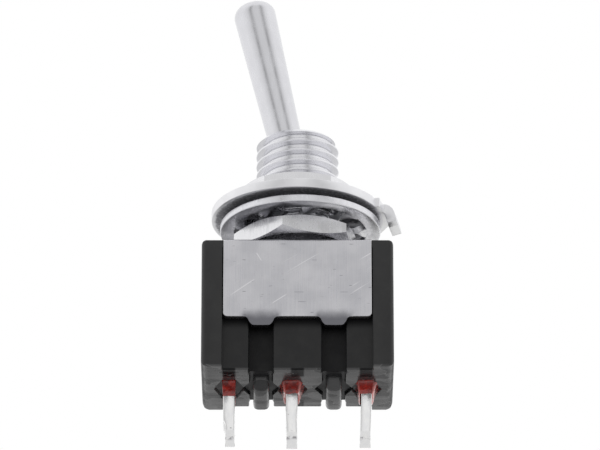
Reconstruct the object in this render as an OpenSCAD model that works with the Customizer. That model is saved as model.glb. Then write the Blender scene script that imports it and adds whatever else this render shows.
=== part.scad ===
// Sub-miniature panel toggle switch, one pole and two ways, with three solder lugs.
//
// Frame: millimetres, +Z up along the bushing, the panel side of the folded bracket at Z = 0.
// The front face of the case looks towards -Y and the lever swings from -X to +X.
// The switch is drawn as thrown to the left: lever over to -X, plunger and rocker over to +X.

/* [Case] */
// Width of the moulded case, along the row of lugs
case_w = 13.2; // [13:0.1:14]
// Depth of the case, front to back
case_d = 8.0; // [7.8:0.1:8.2]
// Height of the case below the top of the bracket
case_h = 9.5; // [9.4:0.1:10.2]
// Radius of the case's upright corners
case_corner_r = 0.35; // [0.2:0.05:0.5]
// Radius of the case's two lower side edges
case_foot_r = 0.55; // [0.3:0.05:0.8]
// Width of the four upright grooves in the front and back faces
groove_w = 1.7; // [1.6:0.05:1.8]
// Distance from the middle of the case to the middle of a groove
groove_x = 2.5; // [2.45:0.05:2.55]
// Distance from the middle of the case to the floor of a groove
groove_floor_y = 2.58; // [2.5:0.02:2.7]
// Width of the two barrier ribs under the case
rib_w = 1.1; // [0.9:0.05:1.2]
// How far a barrier rib stands below the case
rib_drop = 0.9; // [0.6:0.1:1.1]

/* [Bracket] */
// Thickness of the folded steel sheet
sheet_t = 0.55; // [0.5:0.05:0.6]
// Width of the bracket, along the row of lugs
bracket_w = 10.2; // [10.2:0.1:10.4]
// How far the legs reach down the case
leg_drop = 5.8; // [5.4:0.1:6]
// How far the crimped tongues reach down the case
tongue_drop = 6.3; // [6.3:0.1:6.7]
// Width of a crimped tongue
tongue_w = 1.5; // [1.3:0.05:1.55]

/* [Bushing] */
// Outer diameter of the bushing's thread, over its crests
thread_d = 5.76; // [5.7:0.02:5.8]
// Height of the bushing above the bracket
bushing_h = 9.0; // [8.6:0.1:9.2]
// Height of the lever's pivot above the bracket
pivot_z = 5.4; // [5.3:0.05:5.5]

/* [Lever] */
// Whole swing of the lever, from stop to stop, in degrees
lever_throw = 25; // [23:0.5:25]
// Length of the lever from its pivot to its tip
lever_len = 15.0; // [13.5:0.1:15.5]
// Diameter of the bat just under its rounded tip
bat_d = 2.95; // [2.8:0.05:3.1]
// Diameter of the bat at its root, in the mouth of the bushing
bat_root_d = 2.24; // [2.2:0.02:2.26]

/* [Hardware] */
// Width of both nuts across their flats
nut_af = 8.0; // [7.8:0.1:8.2]
// Thickness of both nuts
nut_t = 1.4; // [1.2:0.05:1.4]
// Height of the lower nut's underside above the bracket
lower_nut_z = 0.5; // [0.5:0.05:0.6]
// Outer diameter of the lock washer
washer_d = 11.2; // [10.8:0.1:11.6]
// Number of teeth inside the lock washer
washer_teeth = 9; // [8:1:9]
// Outer diameter of the locking ring
ring_d = 12.0; // [11.8:0.1:12.4]
// Angle of the locking ring's bent tab from the +X direction, in degrees
tab_azimuth = -4; // [-12:1:4]

/* [Terminals] */
// Distance from the middle of the case to the end lugs
lug_pitch = 4.7; // [4.65:0.05:4.75]
// Sideways place of the middle lug
lug_centre_x = -0.4; // [-0.4:0.05:0]
// Thickness of a lug
lug_t = 0.8; // [0.7:0.05:0.85]
// Width of a lug
lug_w = 2.0; // [1.8:0.1:2.1]
// Length of a lug below the case
lug_len = 4.45; // [4:0.05:5]
// Diameter of a lug's wire eye
lug_eye_d = 1.2; // [1:0.05:1.3]

/* [Mechanism] */
// Tilt of the rocking contact to either side, in degrees
rocker_tilt = 6; // [5.5:0.25:6]
// Height of the rocking contact's axis above the bracket
rocker_z = -5.5; // [-5.55:0.05:-5.45]
// Thickness of the rocking contact's strip
rocker_t = 0.35; // [0.3:0.05:0.4]
// Diameter of the plunger's rounded tip
plunger_tip_d = 1.2; // [1.1:0.05:1.3]
// Number of turns of the plunger's spring
spring_turns = 5; // [4:1:6]

/* [Hidden] */

$fn = 72;
over = 1;            // how far a cutter runs past the face it cuts
touch = 0.01;        // gap between faces that seat on each other
running = 0.05;      // radial gap of the turning and sliding fits

// Case
leg_y = case_d / 2;                  // outer face of the bracket's legs
case_mid_y = leg_y - sheet_t - 0.07; // face of the case behind the legs
seat_x = bracket_w / 2 + 0.07;       // half width of the bracket's seat in the case
groove_top = -3.5;
rib_y = 1.95;                        // half length of a barrier rib
rib_round_r = 0.3;                   // rounding of a barrier rib's lower ends
trench_deep = 0.4;                   // channel under the case that each rib stands in
cavity_x = bracket_w / 2 - 0.1;      // the bracket covers it
cavity_y = 1.9;
floor_t = 2.0;
floor_z = -case_h + floor_t;         // floor of the cavity
well_x = 1.2;                        // half size of the potting well round a lug
well_y = 2.3;
well_deep = 1.2;

// Bracket and bushing
thread_r = thread_d / 2;
pitch_r = thread_r - 0.27;
rim_chamfer = 0.3;
neck_r = 2.5;                        // neck of the bushing, through the bracket
lip_r = 2.75;                        // rim swaged over under the bracket
lip_t = 0.35;
bushing_bore_r = 2.1;
mouth_r = 2.05;                      // bore at the top rim
throat_r = 1.53;                     // narrowest place, just above the ball
ball_r = 2.04;
seat_r = ball_r + 0.04;
throat_rise = sqrt(seat_r * seat_r - throat_r * throat_r);
keyway_w = 0.9;
keyway_floor = 2.5;
pin_r = 0.4;
pin_half = 2.2;
pin_slot_y = 2.27;                   // blind end of the slots that the pin's ends turn in

// Lever and plunger, along the lever's own axis with the pivot at 0
lever_rest = -lever_throw / 2;
bat_from = 1.5;
shoulder_r = 0.95;                   // rounding of the tip's edge
dome_rise = 0.22;                    // crown of the tip above its shoulder
skirt_r = 1.1;
skirt_end = -4.2;
socket_r = 0.72;                     // blind hole for the spring and the plunger
socket_top = -0.75;
plunger_top = -2.4;
guide_r = socket_r - running;
guide_end = -4.9;
stem_r = 0.52;
tip_r = plunger_tip_d / 2;
plunger_len = 10.63;                 // from the pivot to the middle of the rounded tip
wire_r = 0.09;
coil_r = 0.55;

// Path of the plunger's tip, seen from the rocking contact: very nearly one arc
tip_rise = pivot_z - plunger_len - rocker_z;
tip_x = plunger_len * sin(lever_throw / 2);
tip_z = pivot_z - plunger_len * cos(lever_throw / 2) - rocker_z;
tip_end_x = tip_x * cos(rocker_tilt) - tip_z * sin(rocker_tilt);
tip_end_z = tip_x * sin(rocker_tilt) + tip_z * cos(rocker_tilt);
tip_lift = tip_end_z - tip_rise;
path_r = (tip_end_x * tip_end_x + tip_lift * tip_lift) / (2 * tip_lift);
path_z = tip_rise + path_r;
trough_r = path_r + tip_r + 0.02;    // upper face of the rocking contact's trough
trough_x = 2.6;
trough_rim_z = path_z - sqrt(trough_r * trough_r - trough_x * trough_x);

// Rocking contact
rocker_y = 1.05;                     // half width of the strip
cheek_t = 0.25;
trunnion_r = 0.3;
trunnion_y = 1.7;
contact_x = 4.3;
contact_drop = 0.5;                  // underside of the strip's end below the axis
pad_in = 3.9;
pad_out = 4.9;

// Terminals
foot_t = 0.8;
foot_top = floor_z + foot_t;
button_r = 0.6;
closed_z = rocker_z - contact_drop * cos(rocker_tilt) - contact_x * sin(rocker_tilt);
ear_in = 1.15;
ear_out = 1.75;
ear_x = 0.8;
ear_top = rocker_z + 0.45;
lug_end = -case_h - lug_len;
eye_z = lug_end + 1.35;
seal_x = 0.75;
seal_y = 1.4;

// Hardware on the bushing, from the bracket up
nut_bore_r = pitch_r + 0.05;
nut_face_r = nut_af / 2 - 0.13;
nut_chamfer = 27;
upper_nut_z = 3.75;
free_thread_z = upper_nut_z + nut_t; // the thread is bare from here up
lower_nut_turn = 17;
washer_z = 2.15;
washer_t = 0.53;
washer_in = 4.6;
washer_shift = 0.2;
tooth_r = 3.1;
tooth_t = 0.5;
tooth_w = 1.5;
tooth_twist = 27;
tooth_z = 2.475;
ring_z = 3.05;
ring_t = 0.65;
ring_bore_r = 3.1;
tab_w = 2.4;
tab_crease = 6.22;
tab_bend = 73;
tab_len = 0.85;
tab_skew = -6.5;
tongue_front = [5.77, -2.34];
tongue_back = [5.69, 2.41];

// A box given by its two opposite corners
module block(low, high) {
    translate(low) cube(high - low);
}

// A plate with rounded corners in plan: two squares and four rounds
module rounded_plan(w, d, r) {
    square([w, d - 2 * r], center = true);
    square([w - 2 * r, d], center = true);
    for (sx = [-1, 1], sy = [-1, 1])
        translate([sx * (w / 2 - r), sy * (d / 2 - r)]) circle(r);
}

// An outline drawn in X and Z, carried along Y to both sides of the middle
module along_y(width) {
    rotate([90, 0, 0]) linear_extrude(width, center = true) children();
}

// An outline drawn in Y and Z, carried along X to both sides of the middle
module along_x(width) {
    rotate([90, 0, 90]) linear_extrude(width, center = true) children();
}

// Places something drawn about the lever's own axis at the pivot, thrown to the left
module on_lever() {
    translate([0, 0, pivot_z]) rotate([0, lever_rest, 0]) children();
}

// A ring or sleeve standing on z
module tube(outer_r, inner_r, h, z) {
    translate([0, 0, z]) difference() {
        cylinder(r = outer_r, h = h);
        translate([0, 0, -over]) cylinder(r = inner_r, h = h + 2 * over);
    }
}

// ---- Case ----

// Outline of the case from the front: square shoulders and rounded feet
module case_front_outline() {
    translate([-case_w / 2, -case_h + case_foot_r])
        square([case_w, case_h - case_foot_r]);
    translate([-case_w / 2 + case_foot_r, -case_h])
        square([case_w - 2 * case_foot_r, case_h]);
    for (s = [-1, 1])
        translate([s * (case_w / 2 - case_foot_r), -case_h + case_foot_r])
            circle(case_foot_r);
}

// One barrier rib from the side, with rounded lower corners
module rib_outline() {
    ry = rib_y;
    r = rib_round_r;
    translate([-ry, -case_h - rib_drop + r]) square([2 * ry, rib_drop - r + trench_deep + 0.3]);
    translate([-ry + r, -case_h - rib_drop]) square([2 * (ry - r), rib_drop]);
    for (s = [-1, 1])
        translate([s * (ry - r), -case_h - rib_drop + r]) circle(r);
}

// Moulded case: open at the top, grooved front and back, with a potting well round each lug
module case() {
    color([0.19, 0.19, 0.20]) difference() {
        union() {
            difference() {
                intersection() {
                    translate([0, 0, -case_h]) linear_extrude(case_h)
                        rounded_plan(case_w, case_d, case_corner_r);
                    along_y(case_d + over) case_front_outline();
                }
                for (s = [-1, 1])
                    block([s * groove_x - groove_w / 2, -groove_floor_y, -case_h - over],
                          [s * groove_x + groove_w / 2, groove_floor_y, -case_h + trench_deep]);
            }
            for (s = [-1, 1])
                translate([s * groove_x, 0, 0]) along_x(rib_w) rib_outline();
        }
        for (s = [-1, 1]) {
            // flat behind each leg of the bracket
            block([-seat_x, s > 0 ? case_mid_y : -case_d, -case_h - over],
                  [seat_x, s > 0 ? case_d : -case_mid_y, over]);
            // two grooves in each of those flats
            for (t = [-1, 1])
                block([t * groove_x - groove_w / 2, s > 0 ? groove_floor_y : -case_d,
                       -case_h - over],
                      [t * groove_x + groove_w / 2, s > 0 ? case_d : -groove_floor_y,
                       groove_top]);
        }
        // seat for the bracket's top, and room for the bushing's swaged rim
        block([-seat_x, -case_d, -sheet_t], [seat_x, case_d, over]);
        translate([0, 0, -sheet_t - lip_t - 0.1]) cylinder(r = lip_r + 0.1, h = case_h);
        // cavity for the moving parts
        block([-cavity_x, -cavity_y, floor_z], [cavity_x, cavity_y, over]);
        // potting wells and the slots that the terminals stand in
        for (x = [-lug_pitch, lug_centre_x, lug_pitch]) {
            block([x - well_x, -well_y, -case_h - over], [x + well_x, well_y, -case_h + well_deep]);
            block([x - lug_t / 2, -lug_w / 2, -case_h - over],
                  [x + lug_t / 2, lug_w / 2, floor_z + over]);
        }
    }
}

// ---- Bracket ----

// Section of the folded sheet from the side: top and two legs with rounded folds
module bracket_section() {
    fold_r = 0.25;
    translate([-leg_y + fold_r, -sheet_t]) square([2 * (leg_y - fold_r), sheet_t]);
    for (s = [-1, 1]) {
        intersection() {
            translate([s * (leg_y - fold_r), -fold_r]) circle(fold_r);
            translate([s > 0 ? leg_y - fold_r : -leg_y, -fold_r]) square(fold_r);
        }
        translate([s > 0 ? leg_y - sheet_t : -leg_y, -leg_drop])
            square([sheet_t, leg_drop - fold_r]);
    }
}

// Outline of the bracket from the front: the legs' lower corners are slightly rounded
module bracket_front_outline() {
    r = 0.35;
    translate([-bracket_w / 2, -leg_drop + r]) square([bracket_w, leg_drop + over]);
    translate([-bracket_w / 2 + r, -leg_drop]) square([bracket_w - 2 * r, leg_drop]);
    for (s = [-1, 1])
        translate([s * (bracket_w / 2 - r), -leg_drop + r]) circle(r);
}

// A tongue at the foot of a leg, crimped inwards into the case's groove
module crimped_tongue() {
    lean = 0.35;
    along_x(tongue_w) polygon([
        [leg_y - sheet_t, -leg_drop + 0.3], [leg_y, -leg_drop + 0.3],
        [leg_y - lean, -tongue_drop], [leg_y - lean - sheet_t, -tongue_drop]]);
}

// Folded steel bracket: holds the bushing and grips the case by four crimped tongues
module frame() {
    color([0.72, 0.72, 0.74]) difference() {
        union() {
            intersection() {
                along_x(bracket_w) bracket_section();
                along_y(case_d + over) bracket_front_outline();
            }
            for (turn = [0, 180], s = [-1, 1])
                rotate([0, 0, turn]) translate([s * groove_x, 0, 0]) crimped_tongue();
        }
        translate([0, 0, -sheet_t - over])
            cylinder(r = neck_r + touch, h = sheet_t + 2 * over);
    }
}

// ---- Bushing ----

// Threaded bushing. Its free thread is a plain cylinder over the crests, and the length inside
// the hardware is drawn at the pitch diameter, where the two threads meet
module bushing() {
    color([0.80, 0.80, 0.82]) difference() {
        union() {
            cylinder(r = pitch_r, h = free_thread_z + 0.2);
            translate([0, 0, free_thread_z])
                cylinder(r = thread_r, h = bushing_h - rim_chamfer - free_thread_z);
            translate([0, 0, bushing_h - rim_chamfer])
                cylinder(r1 = thread_r, r2 = thread_r - rim_chamfer, h = rim_chamfer);
            translate([0, 0, -sheet_t - lip_t]) cylinder(r = neck_r, h = sheet_t + lip_t + 0.2);
            translate([0, 0, -sheet_t - lip_t]) cylinder(r = lip_r, h = lip_t - touch);
        }
        // bore, ball seat and the flared mouth that the bat leans against
        translate([0, 0, -case_h]) cylinder(r = bushing_bore_r, h = case_h + pivot_z);
        translate([0, 0, pivot_z]) sphere(seat_r);
        translate([0, 0, pivot_z + throat_rise])
            cylinder(r1 = throat_r, r2 = mouth_r, h = bushing_h - pivot_z - throat_rise);
        // slots that the pivot pin's ends turn in, open below
        translate([0, 0, pivot_z]) rotate([90, 0, 0])
            cylinder(r = pin_r + running, h = 2 * pin_slot_y, center = true);
        block([-pin_r - running, -pin_slot_y, -case_h], [pin_r + running, pin_slot_y, pivot_z]);
        // keyway at the back for the locking ring
        block([-keyway_w / 2, keyway_floor, 0.3], [keyway_w / 2, case_d, bushing_h + over]);
    }
}

// ---- Lever, plunger and spring ----

// Half section of the bat: a slow taper that ends in a rounded edge and a low crown
module bat_profile() {
    edge_z = lever_len - dome_rise - shoulder_r;
    flat_r = bat_d / 2 - shoulder_r;
    polygon(concat(
        [[0, 0], [bat_root_d / 2, 0], [bat_root_d / 2, bat_from], [bat_d / 2, edge_z]],
        [for (a = [15:15:90]) [flat_r + shoulder_r * cos(a), edge_z + shoulder_r * sin(a)]],
        [[0, lever_len]]));
}

// Turned lever: bat, ball and the hollow skirt that carries the plunger
module lever() {
    color([0.86, 0.86, 0.88]) on_lever() difference() {
        union() {
            rotate_extrude() bat_profile();
            sphere(ball_r);
            translate([0, 0, skirt_end]) cylinder(r = skirt_r, h = -skirt_end);
        }
        translate([0, 0, skirt_end - over])
            cylinder(r = socket_r, h = socket_top - skirt_end + over);
        rotate([90, 0, 0]) cylinder(r = pin_r + touch, h = 3 * ball_r, center = true);
    }
}

// Cross pin pressed through the ball: the lever turns on its two ends
module pivot_pin() {
    color([0.66, 0.66, 0.68]) on_lever() rotate([90, 0, 0]) {
        cylinder(r = pin_r, h = 2 * pin_half - 0.3, center = true);
        for (turn = [0, 180]) rotate([turn, 0, 0])
            translate([0, 0, pin_half - 0.15]) cylinder(r1 = pin_r, r2 = pin_r - 0.12, h = 0.15);
    }
}

// Nylon plunger: its rounded tip slides along the rocking contact
module plunger() {
    color([0.93, 0.92, 0.88]) on_lever() {
        translate([0, 0, guide_end]) cylinder(r = guide_r, h = plunger_top - guide_end);
        translate([0, 0, guide_end - 0.25]) cylinder(r1 = stem_r, r2 = guide_r, h = 0.25);
        translate([0, 0, -plunger_len]) cylinder(r = stem_r, h = plunger_len + guide_end);
        translate([0, 0, -plunger_len]) sphere(tip_r);
    }
}

// Points of the spring's wire: rings of `sides` points carried up a helix
function spring_ring(turn, rise, sides) =
    [for (k = [0:sides - 1]) let (a = 360 * k / sides, r = coil_r + wire_r * cos(a))
        [r * cos(turn), r * sin(turn), rise + wire_r * sin(a)]];

// Compression spring in the lever's blind hole
module plunger_spring() {
    sides = 8;
    per_turn = 18;
    rings = spring_turns * per_turn;
    low = plunger_top + wire_r;
    climb = socket_top - wire_r - low;
    points = [for (i = [0:rings])
        each spring_ring(360 * i / per_turn, low + climb * i / rings, sides)];
    last = rings * sides;
    faces = concat(
        [[for (k = [0:sides - 1]) k]],
        [[for (k = [0:sides - 1]) last + sides - 1 - k]],
        [for (i = [0:rings - 1], k = [0:sides - 1]) let (n = (k + 1) % sides)
            each [[i * sides + k, (i + 1) * sides + k, (i + 1) * sides + n],
                  [i * sides + k, (i + 1) * sides + n, i * sides + n]]]);
    color([0.70, 0.70, 0.72]) on_lever() polyhedron(points, faces);
}

// ---- Rocking contact ----

// The strip from the side: a trough that follows the plunger's tip, and two dropped ends
module rocker_outline() {
    rim = [trough_x, trough_rim_z];
    pad_slope = tan(rocker_tilt);
    intersection() {
        translate([0, path_z]) difference() {
            circle(trough_r + rocker_t, $fn = 180);
            circle(trough_r, $fn = 180);
        }
        translate([-trough_x - 0.1, -3]) square([2 * trough_x + 0.2, 3 + trough_rim_z]);
    }
    for (s = [-1, 1]) scale([s, 1]) polygon([
        [rim[0] - 0.1, rim[1] - 0.05], [rim[0] + 0.35, rim[1]],
        [pad_in, -contact_drop + rocker_t - (contact_x - pad_in) * pad_slope],
        [pad_out, -contact_drop + rocker_t + (pad_out - contact_x) * pad_slope],
        [pad_out, -contact_drop + (pad_out - contact_x) * pad_slope],
        [pad_in - 0.1, -contact_drop - (contact_x - pad_in + 0.1) * pad_slope],
        [rim[0] + 0.2, rim[1] - rocker_t], [rim[0] - 0.1, rim[1] - rocker_t - 0.05]]);
}

// Plated rocker: turns on two trunnions and closes one end contact at a time
module rocker_contact() {
    color([0.85, 0.80, 0.66]) translate([0, 0, rocker_z]) rotate([0, rocker_tilt, 0]) {
        along_y(2 * rocker_y) rocker_outline();
        for (s = [-1, 1]) translate([0, s * (rocker_y - cheek_t / 2), 0]) {
            along_y(cheek_t) {
                circle(0.5);
                translate([-0.5, path_z - trough_r - rocker_t / 2])
                    square([1, rocker_t / 2 + trough_r - path_z]);
            }
        }
        for (s = [-1, 1]) translate([0, s * (rocker_y + trunnion_y) / 2, 0])
            rotate([90, 0, 0])
                cylinder(r = trunnion_r, h = trunnion_y - rocker_y + 0.2, center = true);
    }
}

// ---- Terminals, contacts and sealing ----

// A solder lug: strip with a round end and a wire eye, up to the cavity's floor
module lug(x) {
    half = lug_w / 2;
    translate([x, 0, 0]) along_x(lug_t) difference() {
        union() {
            translate([-half, lug_end + half]) square([lug_w, floor_z - lug_end - half + 0.1]);
            translate([0, lug_end + half]) circle(half);
        }
        translate([0, eye_z]) circle(lug_eye_d / 2);
    }
}

// End terminal: lug with a foot turned inwards over the cavity's floor
module end_terminal(side) {
    color([0.88, 0.87, 0.84]) {
        lug(side * lug_pitch);
        mirror([side < 0 ? 1 : 0, 0, 0])
            block([contact_x - 0.7, -lug_w / 2, floor_z],
                  [lug_pitch + lug_t / 2, lug_w / 2, foot_top]);
    }
}

// Middle terminal: lug with a cradle whose two ears carry the rocker's trunnions
module terminal_centre() {
    color([0.88, 0.87, 0.84]) difference() {
        union() {
            lug(lug_centre_x);
            block([-ear_x, -ear_out, floor_z], [ear_x, ear_out, foot_top]);
            for (s = [-1, 1])
                block([-ear_x, s > 0 ? ear_in : -ear_out, floor_z],
                      [ear_x, s > 0 ? ear_out : -ear_in, ear_top]);
        }
        translate([0, 0, rocker_z]) rotate([90, 0, 0])
            cylinder(r = trunnion_r + running, h = 4 * ear_out, center = true);
        block([-trunnion_r - running, -2 * ear_out, rocker_z],
              [trunnion_r + running, 2 * ear_out, 0]);
    }
}

// Silver contact button welded on an end terminal's foot
module contact_button(side) {
    color([0.93, 0.93, 0.93]) translate([side * contact_x, 0, foot_top])
        cylinder(r = button_r, h = closed_z - foot_top - touch);
}

// Epoxy poured round a lug in its well, with a collar that creeps down the lug
module seal(x) {
    top = -case_h + well_deep;
    color([0.62, 0.10, 0.08]) translate([x, 0, 0]) difference() {
        union() {
            block([-seal_x, -seal_y, -case_h - 0.1], [seal_x, seal_y, top]);
            block([-seal_x + 0.15, -seal_y + 0.2, -case_h - 0.5],
                  [seal_x - 0.15, seal_y - 0.2, top]);
        }
        block([-lug_t / 2, -lug_w / 2, -case_h - over], [lug_t / 2, lug_w / 2, top + over]);
    }
}

// ---- Hardware on the bushing ----

// Hexagon nut chamfered on both faces, standing on z, turned about the bushing
module hex_nut(z, turn) {
    corner_r = nut_af / 2 / cos(30);
    slope = tan(nut_chamfer);
    reach = nut_t / 2 / slope;
    color([0.78, 0.78, 0.80]) translate([0, 0, z]) difference() {
        intersection() {
            rotate([0, 0, turn]) cylinder(r = corner_r, h = nut_t, $fn = 6);
            cylinder(r1 = nut_face_r, r2 = nut_face_r + nut_t / slope, h = nut_t);
            cylinder(r1 = nut_face_r + nut_t / slope, r2 = nut_face_r, h = nut_t);
        }
        translate([0, 0, -over]) cylinder(r = nut_bore_r, h = nut_t + 2 * over);
    }
}

// Lock washer: a flat rim with twisted teeth inside it, resting a little off centre
module lock_washer() {
    color([0.75, 0.75, 0.77]) translate([washer_shift, 0, 0]) {
        tube(washer_d / 2, washer_in, washer_t, washer_z);
        for (i = [0:washer_teeth - 1])
            rotate([0, 0, 360 * i / washer_teeth]) translate([tooth_r, 0, tooth_z])
                rotate([tooth_twist, 0, 0])
                    translate([0, -tooth_w / 2, -tooth_t / 2])
                        cube([washer_in - tooth_r + 0.15, tooth_w, tooth_t]);
    }
}

// The ring's flared tongue in plan
module tongue_plan() {
    root = ring_d / 2 - 1;
    polygon([[root, tongue_front[1]], tongue_front, [tab_crease, -tab_w / 2],
             [tab_crease, tab_w / 2], tongue_back, [root, tongue_back[1]]]);
}

// Section of the bent tab from its root in the tongue, over the fold, to its end
module tab_section() {
    root = 0.3;
    down = [cos(tab_bend), -sin(tab_bend)];
    out = [sin(tab_bend), cos(tab_bend)];
    polygon(concat(
        [[-root, 0], [-root, ring_t]],
        [for (a = [0 : tab_bend / 5 : tab_bend]) ring_t * [sin(a), cos(a)]],
        [ring_t * out + tab_len * down, tab_len * down, [0, 0]]));
}

// Locking ring: keyed into the bushing, with a tab for the panel's second hole
module locking_ring() {
    color([0.80, 0.80, 0.82]) rotate([0, 0, tab_azimuth]) {
        tube(ring_d / 2, ring_bore_r, ring_t, ring_z);
        rotate([0, 0, -tab_azimuth])
            block([-0.25, keyway_floor + 0.12, ring_z], [0.25, ring_bore_r + 0.4, ring_z + ring_t]);
        translate([0, 0, ring_z]) linear_extrude(ring_t) tongue_plan();
        translate([tab_crease, 0, ring_z]) rotate([0, 0, tab_skew]) along_y(tab_w) tab_section();
    }
}

case();
frame();
bushing();
lever();
pivot_pin();
plunger();
plunger_spring();
rocker_contact();
end_terminal(-1);  // terminal_left
terminal_centre();
end_terminal(1);  // terminal_right
contact_button(-1);  // contact_left
contact_button(1);  // contact_right
seal(-lug_pitch);  // seal_left
seal(lug_centre_x);  // seal_centre
seal(lug_pitch);  // seal_right
hex_nut(lower_nut_z, lower_nut_turn);  // lower_nut
lock_washer();
locking_ring();
hex_nut(upper_nut_z, 0);  // upper_nut
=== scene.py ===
# %% [markdown]
# # A miniature toggle switch, finished in Blender
# The engineering model already holds every piece of the switch at its true size. This lesson
# keeps that model as a fixed frame and gives each piece the shape and the finish of the real
# one: a moulded case, a folded steel bracket, a rolled thread, nuts, a tooth washer, a keyed
# ring, a polished lever, tinned lugs and the red epoxy that seals them.
# Every piece is drawn in millimetres, where the numbers are easy to read, and is brought to
# metres when it is finished.

# %% Load the frame
import math

import bmesh
import bpy
from mathutils import Matrix, Vector, noise


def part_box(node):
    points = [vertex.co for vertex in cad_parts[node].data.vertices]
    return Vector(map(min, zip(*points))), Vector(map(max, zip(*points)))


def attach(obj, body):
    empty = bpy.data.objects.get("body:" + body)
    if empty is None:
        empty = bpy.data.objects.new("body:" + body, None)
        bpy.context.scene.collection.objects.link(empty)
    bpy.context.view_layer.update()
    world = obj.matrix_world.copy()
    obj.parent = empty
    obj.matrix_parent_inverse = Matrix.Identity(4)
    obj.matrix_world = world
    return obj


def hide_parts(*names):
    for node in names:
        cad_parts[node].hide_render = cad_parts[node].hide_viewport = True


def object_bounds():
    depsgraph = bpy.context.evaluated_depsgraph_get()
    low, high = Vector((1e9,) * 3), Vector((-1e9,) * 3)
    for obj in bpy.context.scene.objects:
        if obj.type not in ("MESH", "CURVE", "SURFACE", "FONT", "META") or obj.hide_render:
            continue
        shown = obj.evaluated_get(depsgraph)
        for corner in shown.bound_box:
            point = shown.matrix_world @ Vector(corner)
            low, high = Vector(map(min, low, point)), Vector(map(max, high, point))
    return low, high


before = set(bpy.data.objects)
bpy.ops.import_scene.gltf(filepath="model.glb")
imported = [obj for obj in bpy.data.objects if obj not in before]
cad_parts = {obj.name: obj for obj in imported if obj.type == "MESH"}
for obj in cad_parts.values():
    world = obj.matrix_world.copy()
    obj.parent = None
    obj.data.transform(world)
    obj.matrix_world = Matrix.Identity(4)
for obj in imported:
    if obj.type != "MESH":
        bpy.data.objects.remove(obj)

cad_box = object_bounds()
MM = 0.001
print("pieces in the model:", ", ".join(sorted(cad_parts)))

# %% [markdown]
# ## Camera
# The switch is seen straight from the front and from a little below. A wide lens close by would
# make its upright edges lean, and a camera without perspective would lose the small difference
# between its near and far rims, so a long lens stands far off. Three things place the camera:
# how far it stands off, how steeply it looks up, and the point that it looks at.

# %% Camera
LOOK_UP = math.radians(23.7)
STAND_OFF = 375 * MM
SENSOR, LENS = 36, 323.325              # in millimetres, as on a real camera
CLIP_NEAR, CLIP_FAR = 10 * MM, 20
AIM_RIGHT, AIM_UP = 0.174 * MM, 2.575 * MM

view = Vector((0, math.cos(LOOK_UP), math.sin(LOOK_UP)))
right = Vector((1, 0, 0))
up = right.cross(view)
camera = bpy.data.objects.new("camera", bpy.data.cameras.new("camera"))
bpy.context.scene.collection.objects.link(camera)
camera.location = -STAND_OFF * view
gaze = AIM_RIGHT * right + AIM_UP * up - camera.location
camera.rotation_euler = gaze.to_track_quat("-Z", "Y").to_euler()
camera.data.sensor_width, camera.data.lens = SENSOR, LENS
camera.data.clip_start, camera.data.clip_end = CLIP_NEAR, CLIP_FAR
bpy.context.scene.camera = camera
print(f"camera: {LENS} mm lens, {STAND_OFF / MM:.0f} mm away, {math.degrees(LOOK_UP):.1f} degrees up")

# %% [markdown]
# ## A small kit for node trees
# Materials and Geometry Nodes are both trees of nodes. They could be wired by hand in an
# editor, but a script keeps every number in sight. One helper adds a node, sets its options and
# fills its sockets, which take either a plain value or another node's output. Two more give a
# short sum and a plain grey.

# %% Node helper
def node(tree, kind, sockets=None, **options):
    """Adds a node. `sockets` maps an input's name or number to a value or to an output."""
    made = tree.nodes.new(kind)
    for name, value in options.items():
        setattr(made, name, value)
    for key, value in (sockets or {}).items():
        if isinstance(value, bpy.types.NodeSocket):
            tree.links.new(value, made.inputs[key])
        else:
            made.inputs[key].default_value = value
    return made


def calc(tree, operation, a, b=0.0):
    """One Math node, for short sums inside a tree."""
    return node(tree, "ShaderNodeMath", {0: a, 1: b}, operation=operation).outputs[0]


def grey(level):
    """An opaque grey."""
    return (level, level, level, 1)


print("node kit: node, calc, grey", grey(0.5))

# %% [markdown]
# ## World
# Small parts are shown in a white tent, so that bright metal has something pale to reflect. A
# picture of a studio could light them too, but a short ramp needs no file and is easily tuned.
# The camera sees plain white. Rough surfaces are lit by the same tent at a plain level, to
# which a soft lamp adds its share further on. Reflections see the tent's greyer front, where
# its opening is, edged by two darker folds: they give turned metal its streaks.

# %% World
TENT_LIGHT = 0.72
ROOF_FROM, ROOF_FULL = 0.75, 0.95       # how upright a direction is where the bands end
# brightness of the tent in reflections, by degrees round from the camera towards +X
TENT_BANDS = [(-75, 1.0), (-52, 0.88), (-40, 0.78), (-34, 0.60), (-28, 0.36), (-22, 0.60),
              (-14, 0.78), (18, 0.80), (25, 0.64), (31, 0.40), (37, 0.58), (50, 0.86),
              (72, 1.0)]

scene = bpy.context.scene
scene.view_settings.view_transform = "Standard"
scene.world = bpy.data.worlds.new("tent")
scene.world.use_nodes = True
tent = scene.world.node_tree
tent.nodes.clear()
path = node(tent, "ShaderNodeLightPath").outputs
toward = node(tent, "ShaderNodeSeparateXYZ", {
    0: node(tent, "ShaderNodeTexCoord").outputs["Generated"]}).outputs
azimuth = calc(tent, "ARCTAN2", toward["X"], calc(tent, "MULTIPLY", toward["Y"], -1.0))
round_tent = node(tent, "ShaderNodeMapRange", {
    "Value": azimuth, "From Min": -math.pi, "From Max": math.pi}).outputs["Result"]
bands = node(tent, "ShaderNodeValToRGB", {0: round_tent})
stops = bands.color_ramp.elements
stops[0].position, stops[1].position = 0.0, 1.0
stops[0].color = stops[1].color = grey(1)
for degrees, level in TENT_BANDS:
    stops.new(0.5 + degrees / 360).color = grey(level)
steep = node(tent, "ShaderNodeMapRange", {
    "Value": calc(tent, "ABSOLUTE", toward["Z"]), "From Min": ROOF_FROM, "From Max": ROOF_FULL}
).outputs["Result"]
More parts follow.
